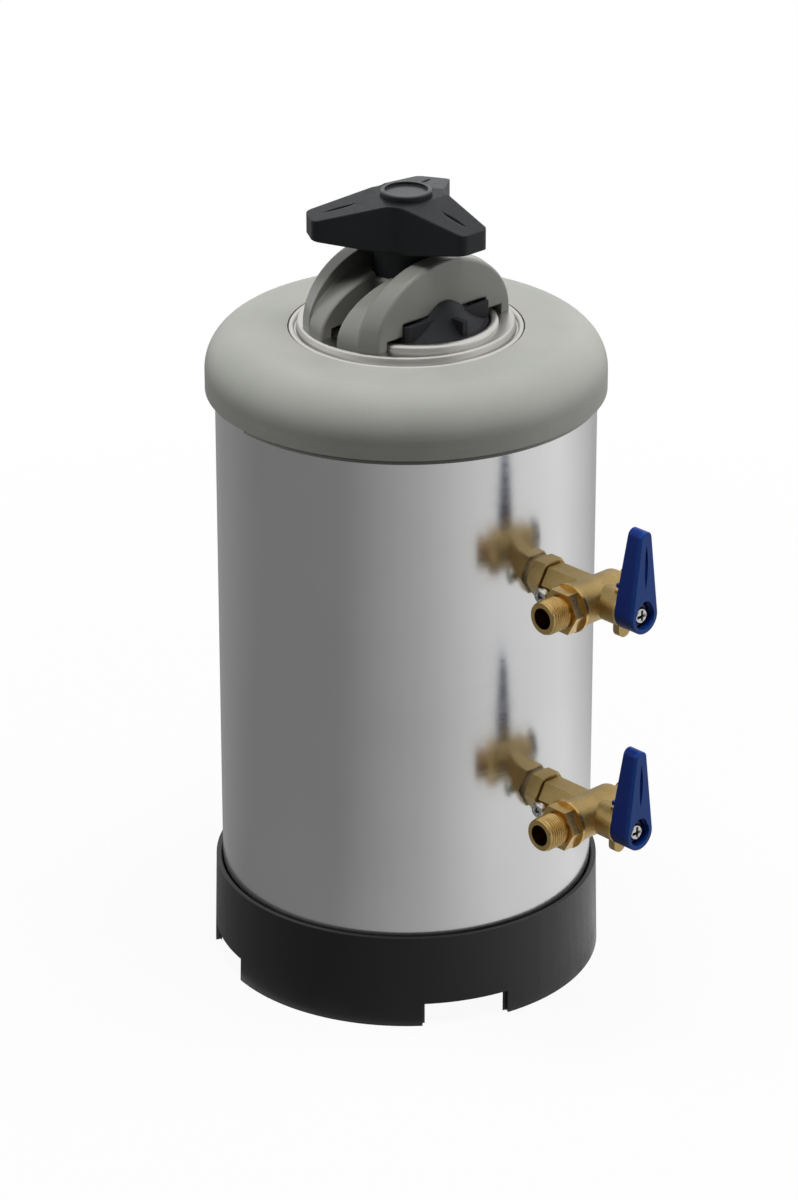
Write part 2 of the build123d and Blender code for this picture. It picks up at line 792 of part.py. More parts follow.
def make_valve(name, height):
    """All the pieces of one three-way ball valve whose stem lies on the line at this height."""
    across = Plane((0, 0, height), x_dir=(0, 1, 0), z_dir=(1, 0, 0))
    along = Plane((valve_reach, 0, height), x_dir=(1, 0, 0), z_dir=(0, -1, 0))
    profile = Plane((0, 0, height), x_dir=(1, 0, 0), z_dir=(0, -1, 0))
    stem_line = Axis((0, 0, height), (1, 0, 0))

    # Spigot: a threaded tube through the tank's wall, its curved flange against the inside
    with BuildPart() as spigot:
        with BuildSketch(across.offset(tank_radius - tank_wall - spigot_flange_thickness)):
            Circle(spigot_flange_radius)
        extrude(amount=spigot_flange_thickness)
        with BuildSketch(Plane.XY.offset(height - spigot_flange_radius)):
            Circle(tank_radius - tank_wall - seat_gap)
        extrude(amount=2 * spigot_flange_radius, mode=Mode.INTERSECT)
        with BuildSketch(across.offset(spigot_inner_end)):
            Circle(spigot_radius)
        extrude(amount=spigot_outer_end - spigot_inner_end)
        with BuildSketch(across.offset(spigot_inner_end)):
            Circle(spigot_bore_radius)
        extrude(amount=spigot_outer_end - spigot_inner_end, mode=Mode.SUBTRACT)
    finish(spigot.part, f"{name}_spigot")

    # Gasket: flat against the nut, curved against the tank
    with BuildPart() as gasket:
        with BuildSketch(across.offset(nut_start)):
            Circle(gasket_radius)
            Circle(spigot_radius + seat_gap, mode=Mode.SUBTRACT)
        extrude(amount=-2 * gasket_thickness)
        with BuildSketch(Plane.XY.offset(height - gasket_radius)):
            Circle(tank_radius)
        extrude(amount=2 * gasket_radius, mode=Mode.SUBTRACT)
    finish(gasket.part, f"{name}_gasket")

    # Lock nut: draws the spigot's flange and the gasket together on the tank's wall
    with BuildPart() as lock_nut:
        with BuildSketch(across.offset(nut_start)):
            RegularPolygon(nut_flats / 2, hex_side_count, major_radius=False)
            Circle(spigot_radius + seat_gap, mode=Mode.SUBTRACT)
        extrude(amount=nut_length)
        with BuildSketch(profile):
            break_corners(nut_start, nut_start + nut_length, nut_flats, nut_break)
        revolve(axis=stem_line, mode=Mode.INTERSECT)
    finish(lock_nut.part, f"{name}_lock_nut")

    # Valve body: hexagonal neck, cross barrel, bonnet for the stem and boss for the drain
    with BuildPart() as body:
        with BuildSketch(along.offset(-barrel_rear)):
            Circle(barrel_radius)
        extrude(amount=barrel_rear + barrel_front)
        fillet(body.faces().sort_by(Axis.Y)[-1].edges(), barrel_round)
        with BuildSketch(along.offset(barrel_front - collar_length)):
            Circle(barrel_radius + collar_rise)
        extrude(amount=collar_length)
        with BuildSketch(across.offset(neck_start)):
            RegularPolygon(neck_flats / 2, hex_side_count, major_radius=False)
        extrude(amount=valve_reach - neck_start)
        with BuildSketch(across.offset(valve_reach)):
            Circle(bonnet_radius)
        extrude(amount=bonnet_reach)
        fillet(body.faces().sort_by(Axis.X)[-1].edges(), bonnet_round)
        with BuildSketch(along.offset(-barrel_rear - drain_boss_length)):
            Circle(drain_boss_radius)
        extrude(amount=drain_boss_length + barrel_round)
        chamfer(body.faces().sort_by(Axis.Y)[-1].edges(), drain_boss_break)
        with BuildSketch(across.offset(lug_start)):
            with Locations((0, lug_width / 2 - lug_reach)):
                Circle(lug_width / 2)
            with Locations((0, (lug_width / 2 - lug_reach) / 2)):
                Rectangle(lug_width, lug_reach - lug_width / 2)
            with Locations((0, top_tab_reach / 2)):
                Rectangle(top_tab_width, top_tab_reach)
        extrude(amount=lug_thickness)
        with BuildSketch(along):
            with Locations((bleed_place, -bleed_drop)):
                Circle(bleed_boss_radius)
        extrude(amount=bleed_boss_reach)
        with BuildSketch(along.offset(-chamber_rear)):
            Circle(chamber_radius)
        extrude(amount=chamber_rear + barrel_front, mode=Mode.SUBTRACT)
        with BuildSketch(along):
            Circle(outlet_radius)
        extrude(amount=-barrel_rear - drain_boss_length, mode=Mode.SUBTRACT)
        with BuildSketch(across.offset(neck_start)):
            Circle(neck_bore_radius)
        extrude(amount=valve_reach - neck_start, mode=Mode.SUBTRACT)
        with BuildSketch(across.offset(neck_start)):
            Circle(spigot_radius + seat_gap)
        extrude(amount=neck_socket_depth, mode=Mode.SUBTRACT)
        with BuildSketch(across.offset(valve_reach)):
            Circle(stem_shoulder_radius + stem_pocket_gap)
        extrude(amount=chamber_top + stem_shoulder_length + running_gap - valve_reach, mode=Mode.SUBTRACT)
        with BuildSketch(across.offset(valve_reach)):
            Circle(stem_radius + running_gap)
        extrude(amount=bonnet_reach, mode=Mode.SUBTRACT)
        with BuildSketch(along.offset(bleed_boss_reach)):
            with Locations((bleed_place, -bleed_drop)):
                Circle(screw_radius + seat_gap)
        extrude(amount=-bleed_screw_depth - seat_gap, mode=Mode.SUBTRACT)
    finish(body.part, f"{name}_valve_body")

    # Port washer and threaded port adaptor, screwed into the front of the barrel
    with BuildPart() as port_washer:
        with BuildSketch(along.offset(barrel_front)):
            Circle(port_washer_radius)
            Circle(port_shank_radius + seat_gap, mode=Mode.SUBTRACT)
        extrude(amount=port_washer_thickness)
    finish(port_washer.part, f"{name}_port_washer")
    with BuildPart() as port:
        with BuildSketch(along.offset(port_shank_end)):
            Circle(port_shank_radius)
        extrude(amount=port_washer_face - port_shank_end)
        with BuildSketch(along.offset(port_washer_face)):
            RegularPolygon(port_hex_flats / 2, hex_side_count, major_radius=False)
        extrude(amount=port_hex_length)
        with BuildSketch(along.offset(port_hex_face)):
            Circle(port_thread_radius)
        extrude(amount=port_thread_length)
        chamfer(port.faces().sort_by(Axis.Y)[0].edges(), port_thread_break)
        with BuildSketch(along.offset(port_shank_end)):
            Circle(port_bore_radius)
        extrude(amount=port_end - port_shank_end, mode=Mode.SUBTRACT)
    finish(port.part, f"{name}_port")

    # Ball with one bore towards the tank and one that the lever turns to a port
    with BuildPart() as ball:
        with Locations((valve_reach, 0, height)):
            Sphere(ball_radius)
        with BuildSketch(across.offset(valve_reach - ball_radius)):
            Circle(ball_bore_radius)
        extrude(amount=ball_radius, mode=Mode.SUBTRACT)
        with BuildSketch(Plane.XY.offset(height)):
            with Locations((valve_reach, 0)):
                Circle(ball_bore_radius)
        extrude(amount=ball_radius, mode=Mode.SUBTRACT)
        with BuildSketch(across.offset(chamber_top - stem_tang_length - stem_slot_gap)):
            Rectangle(stem_tang_width + 2 * stem_slot_gap, 2 * ball_radius)
        extrude(amount=ball_radius, mode=Mode.SUBTRACT)
    finish(ball.part, f"{name}_ball")

    # Two ball seats, one on each side of the ball
    with BuildPart() as seats:
        for start in (-chamber_rear, chamber_rear - seat_depth):
            with BuildSketch(along.offset(start)):
                Circle(chamber_radius - seat_gap)
                Circle(seat_bore_radius, mode=Mode.SUBTRACT)
            extrude(amount=seat_depth)
        with Locations((valve_reach, 0, height)):
            Sphere(ball_radius + seat_gap, mode=Mode.SUBTRACT)
    finish(seats.part, f"{name}_ball_seats")

    # Stem: a tang in the ball, a shoulder behind the bonnet, two flats for the lever
    with BuildPart() as stem:
        with BuildSketch(across.offset(chamber_top - stem_tang_length)):
            Rectangle(stem_tang_width, 2 * stem_tang_half)
        extrude(amount=stem_tang_length)
        with BuildSketch(across.offset(chamber_top)):
            Circle(stem_shoulder_radius)
        extrude(amount=stem_shoulder_length)
        with BuildSketch(across.offset(chamber_top)):
            Circle(stem_radius)
        extrude(amount=lever_back - chamber_top)
        with BuildSketch(across.offset(lever_back)):
            Circle(stem_radius)
            Rectangle(2 * stem_flat_half, 2 * stem_radius, mode=Mode.INTERSECT)
        extrude(amount=stem_end - lever_back)
        with BuildSketch(profile):
            with Locations((stem_ring_place, stem_radius)):
                Rectangle(ring_groove_width, 2 * ring_groove_depth)
        revolve(axis=stem_line, mode=Mode.SUBTRACT)
        with BuildSketch(across.offset(stem_end)):
            Circle(screw_radius + seat_gap)
        extrude(amount=-stem_screw_depth - seat_gap, mode=Mode.SUBTRACT)
    finish(stem.part, f"{name}_stem")

    # O-ring in the stem's groove
    with BuildPart() as stem_ring:
        with BuildSketch(profile):
            with Locations((stem_ring_place, stem_radius - ring_section_radius)):
                Circle(ring_section_radius)
        revolve(axis=stem_line)
    finish(stem_ring.part, f"{name}_stem_ring")

    # Lever: a tapered moulding, hollow at the back, with a recess for its screw
    with BuildPart() as lever:
        with BuildSketch(across.offset(lever_back)):
            Circle(lever_hub_radius)
            with Locations((0, lever_reach)):
                Circle(lever_tip_radius)
            make_hull()
        extrude(amount=lever_thickness)
        with BuildSketch(profile):
            Polygon(
                (lever_back, lever_hub_radius),
                (lever_back + lever_back_taper, lever_reach + lever_tip_radius),
                (lever_back + lever_back_taper, lever_reach + lever_tip_radius + overrun),
                (lever_back - overrun, lever_reach + lever_tip_radius + overrun),
                (lever_back - overrun, lever_hub_radius),
                align=None,
            )
        extrude(amount=lever_hub_radius + overrun, both=True, mode=Mode.SUBTRACT)
        fillet(lever.faces().sort_by(Axis.X)[-1].edges(), lever_edge_round)
        with BuildSketch(across.offset(lever_back - lever_nub_out)):
            with Locations((-lever_nub_side, lever_nub_height)):
                Rectangle(lever_nub_size, lever_nub_size)
        extrude(amount=lever_nub_out + lever_nub_size)
        with BuildSketch(across.offset(lever_back)):
            Circle(lever_hub_radius - lever_wall)
            with Locations((0, lever_reach)):
                Circle(lever_tip_radius - lever_wall)
            make_hull()
            Circle(lever_hub_radius, mode=Mode.SUBTRACT)
        extrude(amount=lever_thickness - lever_face_wall, mode=Mode.SUBTRACT)
        with BuildSketch(across.offset(lever_face)):
            Circle(lever_recess_radius)
            with Locations((0, lever_recess_rise)):
                Circle(lever_recess_top_radius)
            make_hull()
        extrude(amount=-lever_recess_depth, mode=Mode.SUBTRACT)
        with BuildSketch(across.offset(lever_back)):
            Circle(stem_radius + seat_gap)
            Rectangle(2 * (stem_flat_half + seat_gap), 2 * (stem_radius + overrun), mode=Mode.INTERSECT)
        extrude(amount=lever_thickness, mode=Mode.SUBTRACT)
        groove_top = lever_groove_start + lever_groove_length
        with BuildSketch(across.offset(lever_face)):
            with BuildLine():
                for side in (lever_groove_half, -lever_groove_half):
                    ThreePointArc(
                        (0, lever_groove_start),
                        (side, (lever_groove_start + groove_top) / 2),
                        (0, groove_top),
                    )
            make_face()
        extrude(amount=-lever_groove_depth, mode=Mode.SUBTRACT)
    finish(lever.part, f"{name}_lever")

    # Washer and screw that hold the lever on its stem
    with BuildPart() as lever_washer:
        with BuildSketch(across.offset(lever_recess_floor)):
            Circle(lever_washer_radius)
            Circle(screw_radius + seat_gap, mode=Mode.SUBTRACT)
        extrude(amount=lever_washer_thickness)
    finish(lever_washer.part, f"{name}_lever_washer")
    washer_face = lever_recess_floor + lever_washer_thickness
    with BuildPart() as lever_screw:
        with BuildSketch(across.offset(washer_face)):
            Circle(screw_head_radius)
        extrude(amount=screw_head_height)
        fillet(lever_screw.faces().sort_by(Axis.X)[-1].edges(), screw_head_round)
        with BuildSketch(across.offset(washer_face)):
            Circle(screw_radius)
        extrude(amount=stem_end - stem_screw_depth - washer_face)
    finish(lever_screw.part, f"{name}_lever_screw")

    # Bleed screw on the neck and blanking cap on the drain
    with BuildPart() as bleed_screw:
        with BuildSketch(along.offset(bleed_boss_reach)):
            with Locations((bleed_place, -bleed_drop)):
                Circle(screw_head_radius)
        extrude(amount=screw_head_height)
        fillet(bleed_screw.faces().sort_by(Axis.Y)[0].edges(), screw_head_round)
        with BuildSketch(along.offset(bleed_boss_reach)):
            with Locations((bleed_place, -bleed_drop)):
                Circle(screw_radius)
        extrude(amount=-bleed_screw_depth)
    finish(bleed_screw.part, f"{name}_bleed_screw")
    with BuildPart() as drain_cap:
        with BuildSketch(along.offset(-drain_end)):
            Circle(drain_cap_radius)
        extrude(amount=-drain_cap_length)
        fillet(drain_cap.faces().sort_by(Axis.Y)[-1].edges(), drain_cap_round)
        with BuildSketch(along.offset(-drain_end)):
            Circle(outlet_radius - seat_gap)
        extrude(amount=drain_cap_shank)
    finish(drain_cap.part, f"{name}_drain_cap")


for valve_name, valve_height in valve_heights.items():
    make_valve(valve_name, valve_height)

# Inlet strainer: a slotted tube on the upper spigot
strainer_end = spigot_inner_end - strainer_length
strainer_plane = Plane((0, 0, valve_heights["upper"]), x_dir=(0, 1, 0), z_dir=(1, 0, 0))
with BuildPart() as upper_strainer:
    with BuildSketch(strainer_plane.offset(strainer_end)):
        Circle(strainer_radius)
    extrude(amount=strainer_length + strainer_socket)
    with BuildSketch(strainer_plane.offset(strainer_end + strainer_wall)):
        Circle(strainer_radius - strainer_wall)
    extrude(amount=strainer_length - strainer_wall, mode=Mode.SUBTRACT)
    with BuildSketch(strainer_plane.offset(spigot_inner_end)):
        Circle(spigot_radius + seat_gap)
    extrude(amount=strainer_socket, mode=Mode.SUBTRACT)
    with BuildSketch(strainer_plane.offset(strainer_end + strainer_slot_margin)):
        with PolarLocations(strainer_radius, strainer_slot_count):
            Rectangle(2 * strainer_wall + overrun / 2, strainer_slot_width)
    extrude(amount=strainer_length - 2 * strainer_slot_margin, mode=Mode.SUBTRACT)
finish(upper_strainer.part, "upper_strainer")

# Riser tube: from the lower spigot in towards the axis, then down to the basket
riser_place = spigot_inner_end - riser_offset
riser_level = valve_heights["lower"]
riser_end = basket_bottom + basket_height - riser_lap
riser_plane = Plane((0, 0, riser_level), x_dir=(0, 1, 0), z_dir=(1, 0, 0))
riser_points = (
    (spigot_inner_end, riser_level),
    (riser_place, riser_level),
    (riser_place, riser_end),
)
with BuildPart() as riser_tube:
    with BuildLine(Plane.XZ):
        FilletPolyline(*riser_points, radius=riser_bend)
    with BuildSketch(riser_plane.offset(spigot_inner_end)):
        Circle(riser_radius)
        Circle(riser_bore_radius, mode=Mode.SUBTRACT)
    sweep()
    with BuildSketch(riser_plane.offset(spigot_inner_end)):
        Circle(riser_socket_radius)
        Circle(spigot_radius + seat_gap, mode=Mode.SUBTRACT)
    extrude(amount=strainer_socket)
finish(riser_tube.part, "riser_tube")

# Outlet basket: a closed slotted can round the riser's lower end
with BuildPart() as outlet_basket:
    with BuildSketch(Plane.XY.offset(basket_bottom)):
        with Locations((riser_place, 0)):
            Circle(basket_radius)
    extrude(amount=basket_height)
    with BuildSketch(Plane.XY.offset(basket_bottom + basket_wall)):
        with Locations((riser_place, 0)):
            Circle(basket_radius - basket_wall)
    extrude(amount=basket_height - 2 * basket_wall, mode=Mode.SUBTRACT)
    with BuildSketch(Plane.XY.offset(basket_bottom + basket_height)):
        with Locations((riser_place, 0)):
            Circle(riser_radius + seat_gap)
    extrude(amount=-2 * basket_wall, mode=Mode.SUBTRACT)
    with BuildSketch(Plane.XY.offset(basket_bottom + basket_slot_margin)):
        with Locations((riser_place, 0)):
            with PolarLocations(basket_radius, basket_slot_count):
                Rectangle(2 * basket_wall + overrun / 2, basket_slot_width)
    extrude(amount=basket_height - 2 * basket_slot_margin, mode=Mode.SUBTRACT)
finish(outlet_basket.part, "outlet_basket")

# Resin bed: the exchange resin that fills the tank round the riser, up to its free level
resin_floor = dish_points(dish_side, dish_wall + loose_gap)
with BuildPart() as resin_bed:
    with BuildSketch(Plane.XZ):
        with BuildLine():
            dish_line(resin_floor)
            Line(resin_floor[-1], (resin_floor[-1][0], resin_top))
            Line((resin_floor[-1][0], resin_top), (0, resin_top))
            Line((0, resin_top), resin_floor[0])
        make_face()
    revolve(axis=Axis.Z)
    with BuildLine(Plane.XZ):
        FilletPolyline(*riser_points, radius=riser_bend)
    with BuildSketch(riser_plane.offset(spigot_inner_end)):
        Circle(riser_radius + loose_gap)
    sweep(mode=Mode.SUBTRACT)
    with BuildSketch(riser_plane.offset(spigot_inner_end - loose_gap)):
        Circle(spigot_flange_radius + loose_gap)
    extrude(amount=tank_radius - spigot_inner_end, mode=Mode.SUBTRACT)
    with BuildSketch(Plane.XY.offset(basket_bottom - loose_gap)):
        with Locations((riser_place, 0)):
            Circle(basket_radius + loose_gap)
    extrude(amount=basket_height + 2 * loose_gap, mode=Mode.SUBTRACT)
finish(resin_bed.part, "resin_bed")
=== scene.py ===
import json
from math import cos, pi, radians, sin

import bmesh
import bpy
from mathutils import Matrix, Vector

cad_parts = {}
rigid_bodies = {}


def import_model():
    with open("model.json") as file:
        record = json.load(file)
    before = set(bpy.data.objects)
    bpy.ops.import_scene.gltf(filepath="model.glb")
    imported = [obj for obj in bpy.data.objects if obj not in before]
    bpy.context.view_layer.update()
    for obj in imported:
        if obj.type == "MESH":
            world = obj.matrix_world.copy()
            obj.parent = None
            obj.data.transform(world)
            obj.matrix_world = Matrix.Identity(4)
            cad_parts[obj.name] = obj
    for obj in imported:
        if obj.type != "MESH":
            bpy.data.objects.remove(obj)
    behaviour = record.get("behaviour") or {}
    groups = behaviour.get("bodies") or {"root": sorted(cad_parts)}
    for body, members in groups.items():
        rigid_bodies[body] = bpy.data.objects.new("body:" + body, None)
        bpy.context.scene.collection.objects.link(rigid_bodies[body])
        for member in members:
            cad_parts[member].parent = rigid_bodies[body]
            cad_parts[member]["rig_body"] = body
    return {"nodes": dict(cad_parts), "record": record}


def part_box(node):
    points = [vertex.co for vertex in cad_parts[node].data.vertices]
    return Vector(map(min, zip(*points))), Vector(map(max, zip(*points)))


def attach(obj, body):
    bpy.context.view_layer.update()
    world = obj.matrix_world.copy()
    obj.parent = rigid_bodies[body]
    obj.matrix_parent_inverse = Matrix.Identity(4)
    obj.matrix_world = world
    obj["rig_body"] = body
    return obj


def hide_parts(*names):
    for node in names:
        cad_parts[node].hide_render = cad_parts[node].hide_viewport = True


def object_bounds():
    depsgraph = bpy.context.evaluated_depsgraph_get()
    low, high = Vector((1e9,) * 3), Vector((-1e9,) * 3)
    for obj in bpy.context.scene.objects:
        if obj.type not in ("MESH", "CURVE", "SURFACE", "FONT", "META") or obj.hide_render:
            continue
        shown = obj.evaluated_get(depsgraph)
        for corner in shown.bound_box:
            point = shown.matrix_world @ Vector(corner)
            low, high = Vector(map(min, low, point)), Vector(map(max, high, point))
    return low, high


# Looks for a manual water softener: a satin steel tank on a black base, a grey cap,
# an oval lid under a bridge and a three-armed knob, and two brass ball valves.
# All lengths are in metres, in the frame of the CAD model.

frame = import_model()
cad_low, cad_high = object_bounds()
nodes = frame["nodes"]
body_of_node = {name: node["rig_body"] for name, node in nodes.items()}
slot_of_node = {part["node"]: part["material_slot"] for part in frame["record"]["subparts"]}
VALVES = ("lower", "upper")

# The threads on the ports. The ridge's section is twice as tall as the thread, because its
# lower half is sunk under the root, and the section's widths are shares of the pitch.
THREAD_PITCH = 0.001337
THREAD_DEPTH = 0.00086
THREAD_CREST = 0.00833
THREAD_CHAMFER = 0.0008
THREAD_RUNOUT = 0.0005
THREAD_FOOT_SHARE = 1.86
THREAD_TIP_SHARE = 0.16
THREAD_SECTION_TURN = pi / 2
THREAD_FADE_TURNS = 0.5
THREAD_STEPS = 40

# The screws with a cross recess, and the way that each one's head faces. The flare and the
# taper are how wide the cutter is above the head and at the recess's floor.
SCREWS = {"lever_screw": Vector((1, 0, 0)), "bleed_screw": Vector((0, -1, 0))}
RECESS_REACH_SHARE = 0.5
RECESS_WIDTH_SHARE = 0.25
RECESS_DEPTH = 0.0016
RECESS_FLARE = 1.5
RECESS_TAPER = 0.5
# How far under the head's face the painted shade in the recess begins, and how soft its edge is
RECESS_LIP = 0.0002
RECESS_SHADE = 0.0002

# Heights of the marks on the cap and the base, with the painted shadow line under the cap's lip,
# and the levers' faces along the valves' axes, across which the lever's painted lighter face
# begins
CAP_RINGS_LOW = 0.300
CAP_RINGS_HIGH = 0.322
CAP_SHADOW_LINE = 0.2993
CAP_SHADOW_HALF_WIDTH = 0.0007
BASE_DUST_TOP = 0.018
LEVER_LIT_FACE_BACK = 0.1590
LEVER_LIT_FACE_FRONT = 0.1618

# Points nearer than the first length are merged, and a point is on the thread's crest
# where it is within the second
MERGE = 1e-6
TINY = 1e-5
SMOOTH_ANGLE = radians(32)

# The camera's place, found from the ring and valve outlines in the photograph
CAMERA_AZIMUTH = radians(-43.5)
CAMERA_DISTANCE = 2.100
CAMERA_HEIGHT = 1.1375
CAMERA_PITCH = radians(24.379)
CAMERA_LENS = 140.19
CAMERA_SHIFT = -0.0060

# The floor: how bright it is where it is seen and where it lights the object, and how its
# shadow gives way to plain white with the distance from the middle
FLOOR_REACH = 6.0
FLOOR_TONE = 0.9
FLOOR_BOUNCE = 0.13
FLOOR_GLOW = 0.93
SHADOW_NEAR = 0.15
SHADOW_FAR = 0.80

# The ring on the floor that reflections see. Its tones go round it in degrees from the
# camera's own side, seen from above and anticlockwise.
RING_INNER = 0.100
RING_OUTER = 2.6
RING_LIFT = 0.0004
RING_STEPS = 96
RING_TONES = (
    (-180, 0.34), (-125, 0.31), (-95, 0.25), (-35, 0.26),
    (10, 0.50), (45, 0.80), (100, 0.98), (150, 0.46),
)

# The light that comes from every side, and how dark the camera's own side is in reflections
AMBIENT = 0.06
FRONT_TONE = 0.16
FRONT_START = 0.05
FRONT_END = 0.70

# The lamps' width, and the share of the object's height that they are aimed at
LAMP_SIZE = 1.2
LAMP_AIM = 0.6

# Where most of a noise's values lie
NOISE_BAND = (0.3, 0.7)
WHITE = (1.0, 1.0, 1.0)


# Shader nodes

class Value:
    """A shader socket on which Python's operators add Math nodes."""

    def __init__(self, finish, socket):
        self.finish = finish
        self.socket = socket

    def _maths(self, operation, first, second):
        return self.finish.node("ShaderNodeMath", {"operation": operation}, {0: first, 1: second})

    def __add__(self, other):
        return self._maths("ADD", self, other)

    def __sub__(self, other):
        return self._maths("SUBTRACT", self, other)

    def __rsub__(self, other):
        return self._maths("SUBTRACT", other, self)

    def __mul__(self, other):
        return self._maths("MULTIPLY", self, other)

    def __truediv__(self, other):
        return self._maths("DIVIDE", self, other)

    def __rtruediv__(self, other):
        return self._maths("DIVIDE", other, self)

    __radd__ = __add__
    __rmul__ = __mul__


class Tree:
    """A node tree under construction, and the nodes that most finishes share."""

    def __init__(self, tree):
        self.tree = tree
        tree.nodes.clear()

    def node(self, kind, settings=None, values=None, out=0):
        made = self.tree.nodes.new(kind)
        for key, setting in (settings or {}).items():
            if key == "stops":
                self._stops(made.color_ramp, setting)
            else:
                setattr(made, key, setting)
        for key, value in (values or {}).items():
            if isinstance(value, Value):
                self.tree.links.new(value.socket, made.inputs[key])
            else:
                made.inputs[key].default_value = value
        return Value(self, made.outputs[out]) if made.outputs else made

    def _stops(self, ramp, stops):
        while len(ramp.elements) < len(stops):
            ramp.elements.new(1.0)
        for element, (place, colour) in zip(ramp.elements, stops):
            element.position = place
            element.color = (*colour, 1.0)

    def _colour(self, colour):
        return colour if isinstance(colour, Value) else (*colour, 1.0)

    def place(self, stretch=(1, 1, 1)):
        """The place on the object, in metres, stretched along each axis."""
        point = self.node("ShaderNodeTexCoord", out="Object")
        return self.node("ShaderNodeMapping", values={"Vector": point, "Scale": stretch})

    def axis(self, name, space="Object"):
        point = self.node("ShaderNodeTexCoord", out=space)
        return self.node("ShaderNodeSeparateXYZ", values={0: point}, out=name)

    def radius(self, first="X", second="Y", first_centre=0.0, second_centre=0.0):
        """Distance from a line along the third axis."""
        a = self.axis(first) - first_centre
        b = self.axis(second) - second_centre
        return self.node("ShaderNodeMath", {"operation": "SQRT"}, {0: a * a + b * b})

    def noise(self, scale, detail=3.0, rough=0.5, stretch=(1, 1, 1)):
        values = {
            "Vector": self.place(stretch),
            "Scale": scale,
            "Detail": detail,
            "Roughness": rough,
        }
        return self.node("ShaderNodeTexNoise", values=values)

    def cells(self, scale):
        return self.node("ShaderNodeTexVoronoi", values={"Vector": self.place(), "Scale": scale})

    def lines(self, along, scale, detail=2.0):
        """Fine lines that follow a value, such as the turning marks round an axis."""
        values = {"W": along, "Scale": scale, "Detail": detail}
        return self.node("ShaderNodeTexNoise", {"noise_dimensions": "1D"}, values)

    def ramp(self, value, *stops):
        return self.node("ShaderNodeValToRGB", {"stops": stops}, {0: value})

    def level(self, value, low, high, start=0.0, end=1.0):
        """The value's range from start to end, turned into low to high."""
        values = {
            "Value": value,
            "From Min": start,
            "From Max": end,
            "To Min": low,
            "To Max": high,
        }
        return self.node("ShaderNodeMapRange", values=values)

    def spread(self, noise, low, high):
        """A noise's usual range, turned into low to high."""
        return self.level(noise, low, high, *NOISE_BAND)

    def mix(self, share, first, second):
        keys = {0: share, 6: self._colour(first), 7: self._colour(second)}
        return self.node("ShaderNodeMix", {"data_type": "RGBA"}, keys, out=2)

    def tint(self, noise, first, second):
        """A colour that a noise moves all the way from the first to the second."""
        return self.mix(self.spread(noise, 0.0, 1.0), first, second)

    def bump(self, height, strength, distance, under=None):
        values = {"Height": height, "Strength": strength, "Distance": distance}
        if under:
            values["Normal"] = under
        return self.node("ShaderNodeBump", values=values)

    def rounded(self, reach, samples=4):
        """The normal of a surface whose sharp edges are rounded over this reach."""
        return self.node("ShaderNodeBevel", {"samples": samples}, {"Radius": reach})

    def edge(self, reach):
        """Share of wear on a sharp edge, from how far its rounded normal leaves the true one."""
        true = self.node("ShaderNodeNewGeometry", out="Normal")
        along = self.node(
            "ShaderNodeVectorMath",
            {"operation": "DOT_PRODUCT"},
            {0: self.rounded(reach), 1: true},
            out="Value",
        )
        return self.level(along, 1.0, 0.0, 0.75, 0.99)

    def ray(self, kind):
        """One where a ray of this kind arrives, and zero for the others."""
        return self.node("ShaderNodeLightPath", out=f"Is {kind} Ray")

    def seen(self):
        """One where a ray comes from the camera, a reflection or through glass."""
        total = self.ray("Camera") + self.ray("Glossy") + self.ray("Transmission")
        return self.node("ShaderNodeMath", {"operation": "MINIMUM"}, {0: total, 1: 1.0})


UNIFORM = {
    "metallic": "Metallic",
    "specular": "Specular IOR Level",
    "coat": "Coat Weight",
    "coat_roughness": "Coat Roughness",
    "subsurface": "Subsurface Weight",
}


class Finish(Tree):
    """A material under construction."""

    def __init__(self, name):
        self.material = bpy.data.materials.new(name)
        self.material.use_nodes = True
        super().__init__(self.material.node_tree)

    def surface(self, colour, rough, normal=None, **uniform):
        values = {"Base Color": self._colour(colour), "Roughness": rough}
        if normal:
            values["Normal"] = normal
        for key, value in uniform.items():
            values[UNIFORM[key]] = value
        return self.closed(self.node("ShaderNodeBsdfPrincipled", values=values))

    def matt(self, tone):
        return self.node("ShaderNodeBsdfDiffuse", values={"Color": (tone, tone, tone, 1.0)})

    def glow(self, colour):
        values = {"Color": self._colour(colour), "Strength": 1.0}
        return self.node("ShaderNodeEmission", values=values)

    def closed(self, shader):
        """The finished material, with this shader on its surface."""
        self.node("ShaderNodeOutputMaterial", values={"Surface": shader})
        return self.material


# Finishes of the tank, the cap and the base

def rolled_steel():
    """Satin sheet, rolled round the tank: fine lines soften reflections up and down."""
    f = Finish("rolled_steel")
    rolling = f.noise(1.0, 4.0, 0.6, (26, 26, 1900))
    broad = f.noise(9.0, 3.0)
    smudge = f.noise(34.0, 5.0, 0.6)
    colour = f.tint(broad, (0.60, 0.605, 0.60), (0.66, 0.665, 0.66))
    rough = f.spread(rolling, 0.15, 0.23) + f.level(smudge, 0.0, 0.05, 0.45, 0.8)
    normal = f.bump(broad, 0.06, 0.0012, f.bump(rolling, 0.10, 0.00012))
    return f.surface(colour, rough, normal, metallic=1.0)


def spun_steel():
    """Polished head with turning marks round the mouth, brighter where it is buffed."""
    f = Finish("spun_steel")
    turning = f.lines(f.radius(), 2600.0)
    patches = f.noise(60.0, 3.0)
    colour = f.mix(patches, (0.60, 0.59, 0.565), (0.69, 0.68, 0.655))
    rough = f.spread(turning, 0.28, 0.38) + f.level(patches, 0.0, 0.05)
    return f.surface(colour, rough, f.bump(turning, 0.12, 0.0001), metallic=1.0)


